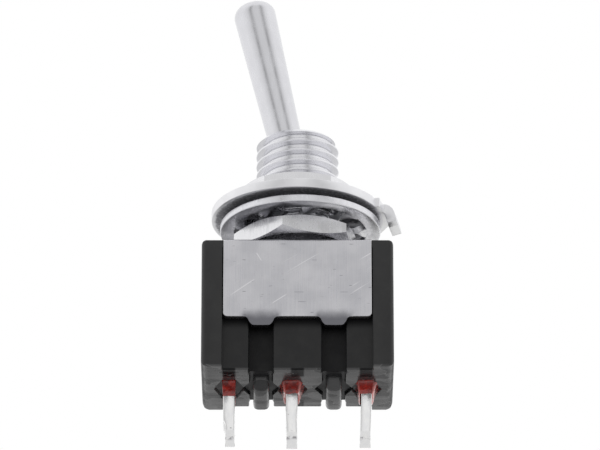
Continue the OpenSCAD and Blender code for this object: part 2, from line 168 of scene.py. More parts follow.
bright = node(tent, "ShaderNodeMix", {0: steep, 6: bands.outputs[0], 7: grey(1)},
              data_type="RGBA").outputs[2]
backdrop = node(tent, "ShaderNodeBackground", {"Color": grey(1), "Strength": 1.0})
ambient = node(tent, "ShaderNodeBackground", {"Color": grey(1), "Strength": TENT_LIGHT})
mirrored = node(tent, "ShaderNodeBackground", {"Color": bright, "Strength": 1.0})
chosen = node(tent, "ShaderNodeMixShader", {0: path["Is Glossy Ray"], 1: ambient.outputs[0],
                                            2: mirrored.outputs[0]})
seen = calc(tent, "MAXIMUM", path["Is Camera Ray"], path["Is Transmission Ray"])
chosen = node(tent, "ShaderNodeMixShader", {0: seen, 1: chosen.outputs[0],
                                            2: backdrop.outputs[0]})
node(tent, "ShaderNodeOutputWorld", {"Surface": chosen.outputs[0]})
print("tent:", len(TENT_BANDS), "greys round it, light", TENT_LIGHT)

# %% [markdown]
# ## Floor
# The switch stands on a pale table that carries its soft shadow. The camera of this lesson looks
# up from below the table top, so a plain sheet would hide the switch: the sheet shows only its
# upper side, and is clear from below. Metal sees it a little darker than the eye does.

# %% Floor
FLOOR_Z = cad_box[0][2] - 0.02 * MM
FLOOR_HALF = 0.45
PAPER, PAPER_IN_METAL = 0.93, 0.72

floor_mesh = bpy.data.meshes.new("floor")
floor_mesh.from_pydata([(x * FLOOR_HALF, y * FLOOR_HALF, FLOOR_Z)
                        for x, y in ((-1, -1), (1, -1), (1, 1), (-1, 1))], [], [(0, 1, 2, 3)])
floor = bpy.data.objects.new("floor", floor_mesh)
scene.collection.objects.link(floor)
paper = bpy.data.materials.new("pale_floor")
paper.use_nodes = True
tree = paper.node_tree
tree.nodes.clear()
path = node(tree, "ShaderNodeLightPath").outputs
below = node(tree, "ShaderNodeNewGeometry").outputs["Backfacing"]
matt = node(tree, "ShaderNodeBsdfDiffuse", {"Color": grey(PAPER)})
white = node(tree, "ShaderNodeEmission", {"Color": grey(PAPER_IN_METAL), "Strength": 1.0})
clear = node(tree, "ShaderNodeBsdfTransparent")
mirror = calc(tree, "MAXIMUM", path["Is Glossy Ray"], path["Is Transmission Ray"])
top = node(tree, "ShaderNodeMixShader", {0: mirror, 1: matt.outputs[0], 2: white.outputs[0]})
both = node(tree, "ShaderNodeMixShader", {0: below, 1: top.outputs[0], 2: clear.outputs[0]})
node(tree, "ShaderNodeOutputMaterial", {"Surface": both.outputs[0]})
floor_mesh.materials.append(paper)
print(f"table top at {FLOOR_Z / MM:.2f} mm")

# %% [markdown]
# ## Lamp
# One large soft lamp stands in front and above on the left. A sun or a small lamp would throw
# hard shadows under the ring. Reflections do not see it, so it leaves no hot square on the metal.

# %% Lamp
LAMP_SIDE, LAMP_POWER = 0.5, 1.6        # metres and watts
LAMP_PLACE = (-0.35, -0.45, 0.42)

lamp = bpy.data.objects.new("soft_lamp", bpy.data.lights.new("soft_lamp", "AREA"))
scene.collection.objects.link(lamp)
lamp.data.shape = "RECTANGLE"
lamp.data.size, lamp.data.size_y = LAMP_SIDE, LAMP_SIDE
lamp.data.energy = LAMP_POWER
lamp.location = LAMP_PLACE
lamp.rotation_euler = (-lamp.location).to_track_quat("-Z", "Y").to_euler()
lamp.visible_glossy = False
lamp.visible_camera = False
print(f"lamp: {LAMP_POWER} W, {lamp.location.length:.2f} m away")

# %% [markdown]
# ## From a drawing to a piece
# A piece is drawn in millimetres, as a plain mesh with modifiers or as a Geometry Nodes tree.
# `drawn` makes an object from points and faces. `settle` turns its modifiers into plain mesh,
# so that the next step starts from what is really there. `tidy` merges doubled points and
# turns every face outwards, which cuts, bevels and the final shading all rely on.

# %% Drawing
def drawn(name, vertices=(), faces=()):
    """A new object from points and faces in millimetres."""
    mesh = bpy.data.meshes.new(name)
    mesh.from_pydata([tuple(v) for v in vertices], [], [tuple(f) for f in faces])
    obj = bpy.data.objects.new(name, mesh)
    scene.collection.objects.link(obj)
    return obj


def settle(obj):
    """Replaces an object's modifiers by their result."""
    graph = bpy.context.evaluated_depsgraph_get()
    mesh = bpy.data.meshes.new_from_object(obj.evaluated_get(graph), depsgraph=graph)
    obj.modifiers.clear()
    obj.data = mesh
    return obj


def tidy(obj, outward=True, merge=1e-4):
    """Merges doubled points and turns every face outwards."""
    shape = bmesh.new()
    shape.from_mesh(obj.data)
    bmesh.ops.remove_doubles(shape, verts=shape.verts, dist=merge)
    if outward:
        bmesh.ops.recalc_face_normals(shape, faces=shape.faces)
    shape.to_mesh(obj.data)
    shape.free()
    return obj


print("drawing kit: drawn, settle, tidy, where a millimetre is", MM, "m")

# %% [markdown]
# ## Handing a piece over
# A finished piece has to fit the engineering model, which is in metres. `publish` brings the
# drawing to that scale as one plain mesh, shades it smooth with crisp edges, puts it under an
# empty for the body it moves with and hides the engineering solids it stands for. The piece's
# place is in its mesh and its object stays at the origin, so patterns do not slide when it moves.

# %% Publishing
def publish(obj, material, body, slot, *stands_for, crisp=32):
    """Finishes a piece: plain mesh, metres, material and body. Its `slot` is not used."""
    settle(obj)
    mesh = obj.data
    mesh.name = obj.name
    mesh.transform(Matrix.Scale(MM, 4))
    mesh.materials.clear()
    mesh.materials.append(material)
    mesh.shade_smooth()
    mesh.set_sharp_from_angle(angle=math.radians(crisp))
    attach(obj, body)
    if stands_for:
        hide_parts(*stands_for)
    low = [round(min(v.co[k] for v in mesh.vertices) / MM, 2) for k in range(3)]
    high = [round(max(v.co[k] for v in mesh.vertices) / MM, 2) for k in range(3)]
    print(f"{obj.name}: {len(mesh.polygons)} faces, {low} to {high} mm")
    return obj


def box_mm(name):
    """A solid's lowest and highest corners, in millimetres."""
    low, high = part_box(name)
    return low / MM, high / MM


print("room for the case:", *(tuple(round(v, 2) for v in corner) for corner in box_mm("case")))

# %% [markdown]
# ## Finishes
# Each finish starts from one Principled shader. Painted pictures could give the same surface,
# but they would need unwrapped pieces and files. Nodes need neither, and stay sharp close up.
# Plain numbers are set on the shader's own sockets, and only what varies over the surface
# comes from nodes. Patterns read object coordinates, turned to millimetres by a Mapping node,
# so a scale of 10 means ten features to the millimetre.

# %% Patterns
def finish(name, colour, roughness, metallic=0.0, **plain):
    """A Principled material; returns it with its tree, its shader and its coordinates in mm."""
    made = bpy.data.materials.new(name)
    made.use_nodes = True
    tree = made.node_tree
    shader = tree.nodes["Principled BSDF"]
    shader.inputs["Base Color"].default_value = (*colour, 1)
    shader.inputs["Roughness"].default_value = roughness
    shader.inputs["Metallic"].default_value = metallic
    for socket, value in plain.items():
        shader.inputs[socket.replace("_", " ")].default_value = value
    place = node(tree, "ShaderNodeTexCoord").outputs["Object"]
    in_mm = node(tree, "ShaderNodeMapping", {"Vector": place, "Scale": (1 / MM,) * 3})
    return made, tree, shader, in_mm.outputs[0]


def stretched(tree, vector, scale=(1, 1, 1), turn=(0, 0, 0)):
    """Turns a pattern by some degrees and then stretches it."""
    turned = node(tree, "ShaderNodeMapping",
                  {"Vector": vector, "Rotation": [math.radians(t) for t in turn]})
    return node(tree, "ShaderNodeMapping",
                {"Vector": turned.outputs[0], "Scale": scale}).outputs[0]


def cloud(tree, vector, scale, detail=2.0, roughness=0.5):
    """A Noise texture's value, around 0.5."""
    return node(tree, "ShaderNodeTexNoise", {"Vector": vector, "Scale": scale,
                                             "Detail": detail, "Roughness": roughness}
                ).outputs["Fac"]


def remap(tree, value, low, high, to_low=0.0, to_high=1.0):
    """Carries the range low to high smoothly over to another range, and holds it there."""
    return node(tree, "ShaderNodeMapRange",
                {"Value": value, "From Min": low, "From Max": high, "To Min": to_low,
                 "To Max": to_high}, interpolation_type="SMOOTHSTEP").outputs["Result"]


print("pattern kit: finish, stretched, cloud, remap")

# %% [markdown]
# ## Colour and relief
# A finish ends in three moves: one pattern carries one colour over to another, the result is
# linked to the shader, and a fine pattern becomes relief. A Bump does that without adding
# faces. Its depth is given in millimetres, so that it can be read like any other size.

# %% Colour and relief
def mix_colours(tree, factor, a, b):
    """Goes from colour a to colour b; each is three numbers or an output."""
    made = node(tree, "ShaderNodeMix", {0: factor}, data_type="RGBA")
    for socket, value in ((6, a), (7, b)):
        if isinstance(value, bpy.types.NodeSocket):
            tree.links.new(value, made.inputs[socket])
        else:
            made.inputs[socket].default_value = (*value, 1)
    return made.outputs[2]


def feed(tree, shader, **values):
    """Links outputs to the shader's sockets."""
    for socket, value in values.items():
        tree.links.new(value, shader.inputs[socket.replace("_", " ")])


def relief(tree, shader, height, depth_mm, strength=1.0):
    """Bump from a height between 0 and 1."""
    bump = node(tree, "ShaderNodeBump", {"Height": height, "Strength": strength,
                                         "Distance": depth_mm * MM})
    feed(tree, shader, Normal=bump.outputs[0])


print("finish kit: mix_colours, feed, relief")

# %% [markdown]
# ## Moulded case
# The case is one black thermoset moulding. Its flat faces carry the fine grain of a spark
# eroded tool, and its underside is a little shinier and uneven, where the parting face of the
# tool and a thin skin of epoxy left slow waves. Black plastic shows mostly its reflections,
# so the grain and the waves are relief and gloss, with only a trace of colour change. The
# masks follow the piece: its underside, the legs' ends, the places in front of the lugs. A
# lower gloss in the grooves, and a lower gloss and darker black just under the legs' ends and
# in front of each lug, are painted shade.

# %% Case gloss
UNDERSIDE_Z = (-9.46, -9.3)             # the underside's own look fades out over this height
GROOVE_Y, LEG_Y, RIM_Y = (2.7, 3.3), (3.5, 3.95), (3.2, 3.7)  # steps outwards, front and back
LUG_PITCH, BESIDE_LUG, BEFORE_LUG, AT_RIM = 4.7, (0.38, 0.52), (2.0, 2.2), (3.7, 3.95)
LEG_FOOT_Z, LEG_SIDE_X = (-6.55, -5.85), (5.1, 5.16)
# how much the painted shade lowers the gloss
SHADE_DULLING = 0.85

moulded, tree, shader, mm = finish("black_moulding", (0.009, 0.009, 0.0095), 0.42)
grain = cloud(tree, mm, 14, 3, 0.6)
dust = cloud(tree, mm, 1.1, 4, 0.6)
place = node(tree, "ShaderNodeSeparateXYZ", {0: mm}).outputs
underside = remap(tree, place["Z"], *UNDERSIDE_Z, 1.0, 0.0)
inward = calc(tree, "ABSOLUTE", place["Y"])
# the lower gloss in the grooves is painted shade
gloss = calc(tree, "ADD", remap(tree, inward, *GROOVE_Y, 0.14, 0.36),
             remap(tree, inward, *LEG_Y, 0.0, 0.16))
waves = cloud(tree, stretched(tree, mm, (0.45, 1.3, 1)), 1.0, 1.5)
film = cloud(tree, stretched(tree, mm, (0.5, 0.9, 1)), 0.9, 1.5)
patches = remap(tree, film, 0.47, 0.51, 0.26, 0.6)
front = remap(tree, inward, *RIM_Y, 0.0, 0.35)
gloss = calc(tree, "MAXIMUM", gloss, calc(tree, "MULTIPLY", underside,
                                          calc(tree, "ADD", patches, front)))
# painted shade: gloss lowered in front of each lug, for a dark reflection, and just under the legs'
# ends, for their shadow
beside = calc(tree, "PINGPONG", place["X"], LUG_PITCH / 2)
shade_before_lug = calc(tree, "MULTIPLY", underside, calc(
    tree, "MULTIPLY", remap(tree, beside, *BESIDE_LUG, 1.0, 0.0),
    calc(tree, "MULTIPLY", remap(tree, inward, *BEFORE_LUG),
         remap(tree, inward, *AT_RIM, 1.0, 0.0))))
shadow_under_leg = calc(tree, "MULTIPLY", remap(tree, place["Z"], *LEG_FOOT_Z), remap(
    tree, calc(tree, "ABSOLUTE", place["X"]), *LEG_SIDE_X, 1.0, 0.0))
painted_shade = calc(tree, "MAXIMUM", shade_before_lug, shadow_under_leg)
gloss = calc(tree, "MULTIPLY", gloss, calc(tree, "SUBTRACT", 1.0, calc(
    tree, "MULTIPLY", painted_shade, SHADE_DULLING)))
print("case gloss:", len(tree.nodes), "nodes")

# %% [markdown]
# ## The case's colour and grain
# Moulding powder is never quite even: a slow noise makes some of it a trace paler. The epoxy
# film on the underside ends in a thin pale edge, where a second noise passes one value. The
# underside's grey is also put into the hollows, as painted light that lifts their shade, and a
# darker black is painted shade under the legs' ends and in front of the lugs.

# %% Case colour and grain
HOLLOW_Z, HOLLOW_Y = (-9.1, -9.0), (2.5, 2.57)
# the underside's grey also serves as painted light in the hollows; the darkest black is painted shade
BLACK, BLACK_PALER, BLACK_SHADED = (0.007, 0.007, 0.0075), (0.014, 0.014, 0.014), (0.004, 0.004, 0.0045)
FILM_GREY_AND_HOLLOW_LIGHT, FILM_EDGE = (0.030, 0.030, 0.031), (0.12, 0.12, 0.12)
GRAIN_MM = 0.012

rough = remap(tree, dust, 0.3, 0.75, 0.36, 0.5)
rough = calc(tree, "SUBTRACT", rough, calc(tree, "MULTIPLY", underside, 0.22))
bands = calc(tree, "MULTIPLY", calc(tree, "MULTIPLY", waves, underside), 5.0)
skin = calc(tree, "ABSOLUTE", calc(tree, "SUBTRACT", film, 0.49))
edge = calc(tree, "MULTIPLY", remap(tree, skin, 0.0, 0.01, 0.8, 0.0), underside)
black = mix_colours(tree, remap(tree, dust, 0.35, 0.8), BLACK, BLACK_PALER)
# painted light: the hollows take the underside's grey, which lifts their shade
hollow_fill_light = calc(tree, "MULTIPLY", remap(tree, place["Z"], *HOLLOW_Z, 1.0, 0.0),
               remap(tree, inward, *HOLLOW_Y, 1.0, 0.0))
black = mix_colours(tree, calc(tree, "MAXIMUM", hollow_fill_light, underside), black, FILM_GREY_AND_HOLLOW_LIGHT)
# painted shade: a darker black under the legs' ends and in front of the lugs
black = mix_colours(tree, painted_shade, black, BLACK_SHADED)
feed(tree, shader, Roughness=rough, Specular_IOR_Level=gloss,
     Base_Color=mix_colours(tree, edge, black, FILM_EDGE))
relief(tree, shader, calc(tree, "ADD", grain, bands), GRAIN_MM, 0.5)
print("finish:", moulded.name)

# %% [markdown]
# ## Plated sheet
# The bracket is nickel plated sheet: satin, with faint upright drawing marks, a few bright
# scratches and short dark rub marks. Most of these are a noise, drawn out along their length
# and cut near its top, because that gives marks anywhere without placing one.

# %% Plated sheet
NICKEL_DARK, NICKEL_PALE = (0.53, 0.53, 0.56), (0.68, 0.675, 0.70)
NICKEL_RUBBED, NICKEL_SCRATCHED = (0.26, 0.26, 0.28), (0.88, 0.87, 0.89)


def scratches(tree, mm, angle, density, width):
    """Thin straight marks at one angle: a noise drawn out along them and cut near its top."""
    along = stretched(tree, mm, (6.0, 1.0, 0.22), (0, angle, 0))
    return remap(tree, cloud(tree, along, density, 0.0), 1 - width, 1.0)


plated_sheet, tree, shader, mm = finish("satin_nickel", (0.52, 0.52, 0.54), 0.3, 1.0)
drawn_marks = cloud(tree, stretched(tree, mm, (5.0, 5.0, 0.12)), 2.2, 5, 0.65)
blotches = cloud(tree, mm, 0.6, 3, 0.5)
bright = scratches(tree, mm, -58, 1.9, 0.22)
tone = calc(tree, "ADD", calc(tree, "MULTIPLY", drawn_marks, 0.5),
            calc(tree, "MULTIPLY", blotches, 0.5))
colour = mix_colours(tree, remap(tree, tone, 0.3, 0.7), NICKEL_DARK, NICKEL_PALE)
rub = remap(tree, cloud(tree, stretched(tree, mm, (1.0, 1.0, 9.0)), 1.5, 0.0), 0.78, 0.84)
colour = mix_colours(tree, rub, colour, NICKEL_RUBBED)
colour = mix_colours(tree, bright, colour, NICKEL_SCRATCHED)
print("plated sheet:", len(tree.nodes), "nodes")

# %% [markdown]
# ## Marks on the front leg
# A part that has been handled shows a few marks of its own on its largest face. They could be
# cut as grooves, but they are far too fine for that. Each is a straight soft stroke, laid in
# the plane of the leg, that fades at its ends, and a mask keeps it to the front.

# %% Marks on the front leg
FRONT_Y = (-3.9, -3.6)
# each stroke's middle, at an x and a z, its angle in degrees and its length
SCRATCHES = [(-3.73, -3.6, 36, 2.3), (-1.25, -4.5, 34, 1.4), (-2.65, -1.35, -60, 0.8)]
RUBS = [(0.1, -4.0, 0, 0.8), (0.3, -4.72, -3, 0.65), (3.2, -4.0, 0, 0.65),
        (-1.86, -3.55, 8, 0.3), (1.15, -1.6, 0, 0.42), (2.54, -2.3, 0, 0.25)]
SCRATCH_PALE, SCRATCH_WIDE = (0.93, 0.92, 0.94), 0.045
RUB_DARK, RUB_WIDE = (0.24, 0.24, 0.27), 0.035

place = node(tree, "ShaderNodeSeparateXYZ", {0: mm}).outputs
on_front = remap(tree, place["Y"], *FRONT_Y, 1.0, 0.0)


def strokes(colour, places, paint, width):
    """Straight strokes of one paint on the front leg."""
    total = None
    for x, z, angle, length in places:
        local = node(tree, "ShaderNodeMapping", {
            "Vector": mm, "Location": (x, 0, z), "Rotation": (0, math.radians(-angle), 0)},
            vector_type="TEXTURE").outputs[0]
        at = node(tree, "ShaderNodeSeparateXYZ", {0: local}).outputs
        along = remap(tree, calc(tree, "ABSOLUTE", at["X"]), length * 0.3, length * 0.5,
                      1.0, 0.0)
        across = remap(tree, calc(tree, "ABSOLUTE", at["Z"]), 0.0, width, 1.0, 0.0)
        made = calc(tree, "MULTIPLY", along, across)
        total = made if total is None else calc(tree, "MAXIMUM", total, made)
    strength = calc(tree, "MULTIPLY", calc(tree, "MULTIPLY", total, on_front), 0.75)
    return mix_colours(tree, strength, colour, paint)


colour = strokes(colour, SCRATCHES, SCRATCH_PALE, SCRATCH_WIDE)
colour = strokes(colour, RUBS, RUB_DARK, RUB_WIDE)
print("marks:", len(SCRATCHES), "scratches and", len(RUBS), "rubs")

# %% [markdown]
# ## Painted shade and highlights on the sheet
# The crimped tongues look down and lie in shade, and the sheared edges catch the light. Both
# are painted into the colour: painted shade where the punch has crimped a tongue, and a painted
# highlight along the sheared edges. Masks on place and slope find both, and a little noise
# keeps the borders from looking ruled.

# %% Painted shade and highlights on the sheet
PUNCH_X, PUNCH_FADE, BAND_Z = 2.5, (0.8, 1.6), (-5.98, -5.12)
SIDE_SLOPE, SIDE_X, FOOT_SLOPE = (0.1, 0.4), (4.7, 4.8), (-0.95, -0.8)
# colours of the painted shade on the tongues and of the painted highlight on the edges
PUNCH_SHADE_DARK, EDGE_HIGHLIGHT_PALE = (0.20, 0.20, 0.22), (0.97, 0.97, 0.98)

slant = node(tree, "ShaderNodeSeparateXYZ",
             {0: node(tree, "ShaderNodeNewGeometry").outputs["Normal"]}).outputs
aside = calc(tree, "ABSOLUTE", calc(tree, "SUBTRACT", calc(tree, "ABSOLUTE", place["X"]), PUNCH_X))
smear = calc(tree, "MULTIPLY", calc(tree, "SUBTRACT", cloud(tree, mm, 1.8, 2), 0.5), 0.8)
# painted shade on the crimped tongues, which look down
punch_shade = remap(tree, calc(tree, "ADD", aside, smear), *PUNCH_FADE, 1.0, 0.0)
depth = calc(tree, "ADD", place["Z"], calc(tree, "MULTIPLY", smear, 0.3))
band = remap(tree, depth, *BAND_Z, 1.0, 0.0)
colour = mix_colours(tree, calc(tree, "MULTIPLY", punch_shade, band), colour, PUNCH_SHADE_DARK)
# painted highlight along the side edges and the foot of each leg
at_side = calc(tree, "MULTIPLY", remap(tree, calc(tree, "ABSOLUTE", slant["X"]), *SIDE_SLOPE),
               remap(tree, calc(tree, "ABSOLUTE", place["X"]), *SIDE_X))
at_foot = calc(tree, "MULTIPLY", remap(tree, slant["Z"], *FOOT_SLOPE, 1.0, 0.0),
               calc(tree, "SUBTRACT", 1.0, punch_shade))
edge_highlight = calc(tree, "MAXIMUM", at_side, at_foot)
colour = mix_colours(tree, edge_highlight, colour, EDGE_HIGHLIGHT_PALE)
feed(tree, shader, Base_Color=colour,
     Roughness=remap(tree, drawn_marks, 0.25, 0.75, 0.24, 0.38))
relief(tree, shader, drawn_marks, 0.004, 0.6)
print("finish:", plated_sheet.name, "with", len(tree.nodes), "nodes")

# %% [markdown]
# ## Turned and rolled metal
# The bushing and the lever are brass, turned and then plated bright. The inner springs, pins
# and contacts are drawn or stamped. All of them are one recipe with other numbers: fine lines,
# drawn out along the piece or round it, and a haze that changes colour and gloss a little.

# %% Turned and rolled metal
def turned_metal(name, colour, roughness, marks, depth=0.002):
    """Bright plated metal with fine marks; `marks` stretches them along or round the piece."""
    made, tree, shader, mm = finish(name, colour, roughness, 1.0)
    lines = cloud(tree, stretched(tree, mm, marks), 2.0, 4, 0.6)
    haze = cloud(tree, mm, 0.9, 3, 0.55)
    darker = [0.93 * c for c in colour]
    feed(tree, shader, Base_Color=mix_colours(tree, remap(tree, haze, 0.3, 0.7), darker, colour),
         Roughness=remap(tree, calc(tree, "MULTIPLY", lines, haze), 0.12, 0.4,
                         roughness * 0.7, roughness * 1.5))
    relief(tree, shader, lines, depth, 0.5)
    return made, tree, shader, mm


plated_brass = turned_metal("bright_nickel", (0.84, 0.84, 0.87), 0.2, (1, 1, 9))[0]
chromed_brass = turned_metal("bright_chrome", (0.745, 0.745, 0.775), 0.2, (6, 6, 0.3))[0]
contact_plate = turned_metal("contact_plate", (0.82, 0.72, 0.5), 0.2, (1, 1, 5))[0]
contact_silver = turned_metal("bare_silver", (0.9, 0.89, 0.87), 0.25, (1, 1, 5))[0]
drawn_steel = turned_metal("drawn_steel", (0.6, 0.6, 0.62), 0.25, (1, 6, 6))[0]
print("metals:", plated_brass.name, chromed_brass.name, contact_plate.name,
      contact_silver.name, drawn_steel.name)

# %% [markdown]
# ## Loose hardware
# Nuts, washer and ring are plated in a drum. Their upper faces are bright. Their under faces
# lie in each other's shade, and that shade is painted into their colour by a mask laid over
# the recipe above. It reads how far a face looks down, so it also works on chamfers and turned
# corners.

# %% Under faces
def hardware_plate(name, colour, roughness, marks, depth=0.003):
    """Plated hardware, and how far each of its faces looks down, from 0 to 1."""
    made, tree, shader, mm = turned_metal(name, colour, roughness, marks, depth)
    facing = node(tree, "ShaderNodeSeparateXYZ",
                  {0: node(tree, "ShaderNodeNewGeometry").outputs["True Normal"]}).outputs["Z"]
    return made, tree, shader, mm, remap(tree, facing, -0.95, -0.6, 1.0, 0.0)


def recolour(tree, shader, factor, colour):
    """Lays another colour over the one the shader has."""
    before = shader.inputs["Base Color"].links[0].from_socket
    feed(tree, shader, Base_Color=mix_colours(tree, factor, before, colour))


print("hardware kit: hardware_plate, recolour")

# %% Nut, ring and washer finishes
# painted light on the nuts' chamfers and painted shade on their seats
CHAMFER_LIT, SEAT_SHADE = (0.88, 0.88, 0.90), (0.07, 0.07, 0.08)
# speckled painted shade under the ring, and the white of a painted highlight at its rim
RING_SHADE_DARK, RING_SHADE_PALE, RIM_LIT = (0.42, 0.42, 0.44), (0.72, 0.72, 0.74), (1.0, 1.0, 1.0)
RING_SHADE_R, RIM_R = (5.75, 5.95), (5.9, 6.0)  # the washer's shade ends, the rim's light starts
# painted light and shade on the washer's under faces, darker on the left and lighter on the right
WASHER_SHADED_LEFT, WASHER_LIT_RIGHT, WASHER_X = (0.47, 0.47, 0.50), (0.97, 0.97, 0.98), (0.0, 3.5)

nut_plate, tree, shader, mm, downward = hardware_plate(
    "nut_plate", (0.84, 0.84, 0.86), 0.24, (3, 3, 0.4), 0.0004)
# painted light on the chamfers, then painted shade on the flat seats below
recolour(tree, shader, remap(tree, downward, 0.5, 0.9), CHAMFER_LIT)
recolour(tree, shader, remap(tree, downward, 0.96, 1.0), SEAT_SHADE)
locking_plate, tree, shader, mm, downward = hardware_plate(
    "locking_plate", (0.88, 0.88, 0.90), 0.36, (5, 5, 1))
reach = node(tree, "ShaderNodeVectorMath", {0: stretched(tree, mm, (1, 1, 0))},
             operation="LENGTH").outputs["Value"]
# painted shade on the ring's underside inside the rim, where the washer shades it
ring_shade = calc(tree, "MULTIPLY", downward, remap(tree, calc(tree, "ADD", reach, calc(
    tree, "MULTIPLY", cloud(tree, mm, 2.5, 3), 0.25)), *RING_SHADE_R, 1.0, 0.0))
speck = remap(tree, cloud(tree, mm, 5.0, 3), 0.45, 0.75)
recolour(tree, shader, ring_shade, mix_colours(tree, speck, RING_SHADE_DARK, RING_SHADE_PALE))
# painted highlight along the outer rim of the ring's underside
rim_light = calc(tree, "MULTIPLY", downward, remap(tree, reach, *RIM_R))
recolour(tree, shader, rim_light, RIM_LIT)
dulled = calc(tree, "ADD", calc(tree, "MULTIPLY", ring_shade, 0.25), 0.36)
feed(tree, shader, Roughness=dulled)
washer_plate, tree, shader, mm, downward = hardware_plate(
    "washer_plate", (0.82, 0.82, 0.85), 0.32, (4, 4, 2))
# painted light and shade: the under faces are darker on the left and lighter on the right
side = remap(tree, node(tree, "ShaderNodeSeparateXYZ", {0: mm}).outputs["X"], *WASHER_X)
recolour(tree, shader, downward, mix_colours(tree, side, WASHER_SHADED_LEFT, WASHER_LIT_RIGHT))
print("finishes:", nut_plate.name, locking_plate.name, washer_plate.name)

# %% [markdown]
# ## Dipped tin
# The lugs are tinned by dipping. Tin runs and sets in slow waves, so colour and gloss are
# cloudy and the relief is soft, with a little dark flux left here and there. A dark, broken
# line lies near the tips.

# %% Lug finish
TIN_GREY, TIN_WHITE = (0.96, 0.96, 0.97), (1.0, 0.995, 0.985)
FLUX, NICK = (0.42, 0.41, 0.42), (0.30, 0.29, 0.31)
NICK_DEPTH = 13.3                       # how far below the bracket's top

lug_plate, tree, shader, mm = finish("dipped_tin", (0.86, 0.86, 0.85), 0.3, 1.0)
dip = cloud(tree, stretched(tree, mm, (1.6, 1.2, 0.8)), 1.6, 4, 0.6)
flux = remap(tree, cloud(tree, stretched(tree, mm, (1, 1, 2.2), (12, 0, 20)), 2.4, 2, 0.5),
             0.72, 0.8)
feed(tree, shader,
     Base_Color=mix_colours(tree, flux, mix_colours(
         tree, remap(tree, dip, 0.3, 0.7), TIN_GREY, TIN_WHITE), FLUX),
     Roughness=remap(tree, dip, 0.3, 0.7, 0.24, 0.12))
relief(tree, shader, dip, 0.012, 0.5)
low = node(tree, "ShaderNodeSeparateXYZ", {0: mm}).outputs["Z"]
nick = calc(tree, "ABSOLUTE", calc(tree, "ADD", calc(tree, "ADD", low, NICK_DEPTH), calc(
    tree, "MULTIPLY", cloud(tree, mm, 0.8, 1.0), 0.4)))
nick = calc(tree, "MULTIPLY", remap(tree, nick, 0.0, 0.16, 0.9, 0.0),
            remap(tree, cloud(tree, mm, 3.4, 3.0, 0.7), 0.4, 0.62))
recolour(tree, shader, nick, NICK)
print("finish:", lug_plate.name)

# %% [markdown]
# ## Red epoxy
# The wells round the lugs are potted with a drop of red epoxy, glossy and a little uneven in
# depth. True depth would need light to travel inside it, which is slow, so a noise mixes a dark
# and a bright red instead. Where the skin runs thin on the metal it turns pink. The plunger
# inside the lever is plain nylon.

# %% Epoxy and nylon finish
RED_DEEP, RED_BRIGHT, PINK = (0.13, 0.003, 0.002), (0.42, 0.022, 0.012), (0.72, 0.24, 0.22)

epoxy, tree, shader, mm = finish("red_epoxy", (0.5, 0.02, 0.012), 0.12, 0.0,
                                 Coat_Weight=0.6, Coat_Roughness=0.05)
thin = node(tree, "ShaderNodeAttribute", attribute_name="thin").outputs["Fac"]
lumps = cloud(tree, mm, 2.2, 3, 0.6)
body = mix_colours(tree, remap(tree, lumps, 0.3, 0.75), RED_DEEP, RED_BRIGHT)
feed(tree, shader, Base_Color=mix_colours(tree, thin, body, PINK))
relief(tree, shader, lumps, 0.06, 0.5)
nylon, tree, shader, mm = finish("natural_nylon", (0.86, 0.84, 0.78), 0.4)
relief(tree, shader, cloud(tree, mm, 9, 2), 0.006, 0.4)
print("finishes:", len(bpy.data.materials))

# %% [markdown]
# ## Blocks, cuts and rounded edges
# A moulded or machined piece is mostly a block with cuts. Its points could be listed one by
# one, but then a size could not be changed alone. `block` draws a box between two corners,
# `join_solid` cuts or joins two solids, and `round_edges` breaks the edges, either all that
# are sharper than an angle or just those that carry a weight.

# %% Blocks and cuts
def block(name, low, high):
    """A box by its two opposite corners."""
    x, y, z = zip(low, high)
    corners = [(x[i], y[j], z[k]) for i in (0, 1) for j in (0, 1) for k in (0, 1)]
    sides = [(0, 1, 3, 2), (4, 6, 7, 5), (0, 4, 5, 1), (2, 3, 7, 6), (0, 2, 6, 4), (1, 5, 7, 3)]
    return drawn(name, corners, sides)


def join_solid(obj, tool, operation):
    """One Boolean, applied at once; the tool is used up."""
    step = obj.modifiers.new(operation.lower(), "BOOLEAN")
    step.operation, step.object, step.solver = operation, tool, "EXACT"
    settle(obj)
    bpy.data.objects.remove(tool)
    return obj


def round_edges(obj, width, segments=2, angle=40, weighted=False):
    """A Bevel on every edge sharper than `angle`, or on the edges that carry a weight."""
    bevel = obj.modifiers.new("rounding", "BEVEL")
    bevel.width, bevel.segments = width, segments
    bevel.limit_method = "WEIGHT" if weighted else "ANGLE"
    bevel.angle_limit = math.radians(angle)
    bevel.use_clamp_overlap = False
    return obj


print("solid kit: block, join_solid, round_edges")

# %% [markdown]
# ## Case
# The case is one moulding, open at the top, with a seat for the bracket, two grooves in its
# front and back, and a cavity for the contacts. It is built from blocks: a body, then the
# cuts. Only straight blocks are used, so that every edge is clean when its turn comes to be
# rounded. Its sizes come from the room that the engineering model gives it.

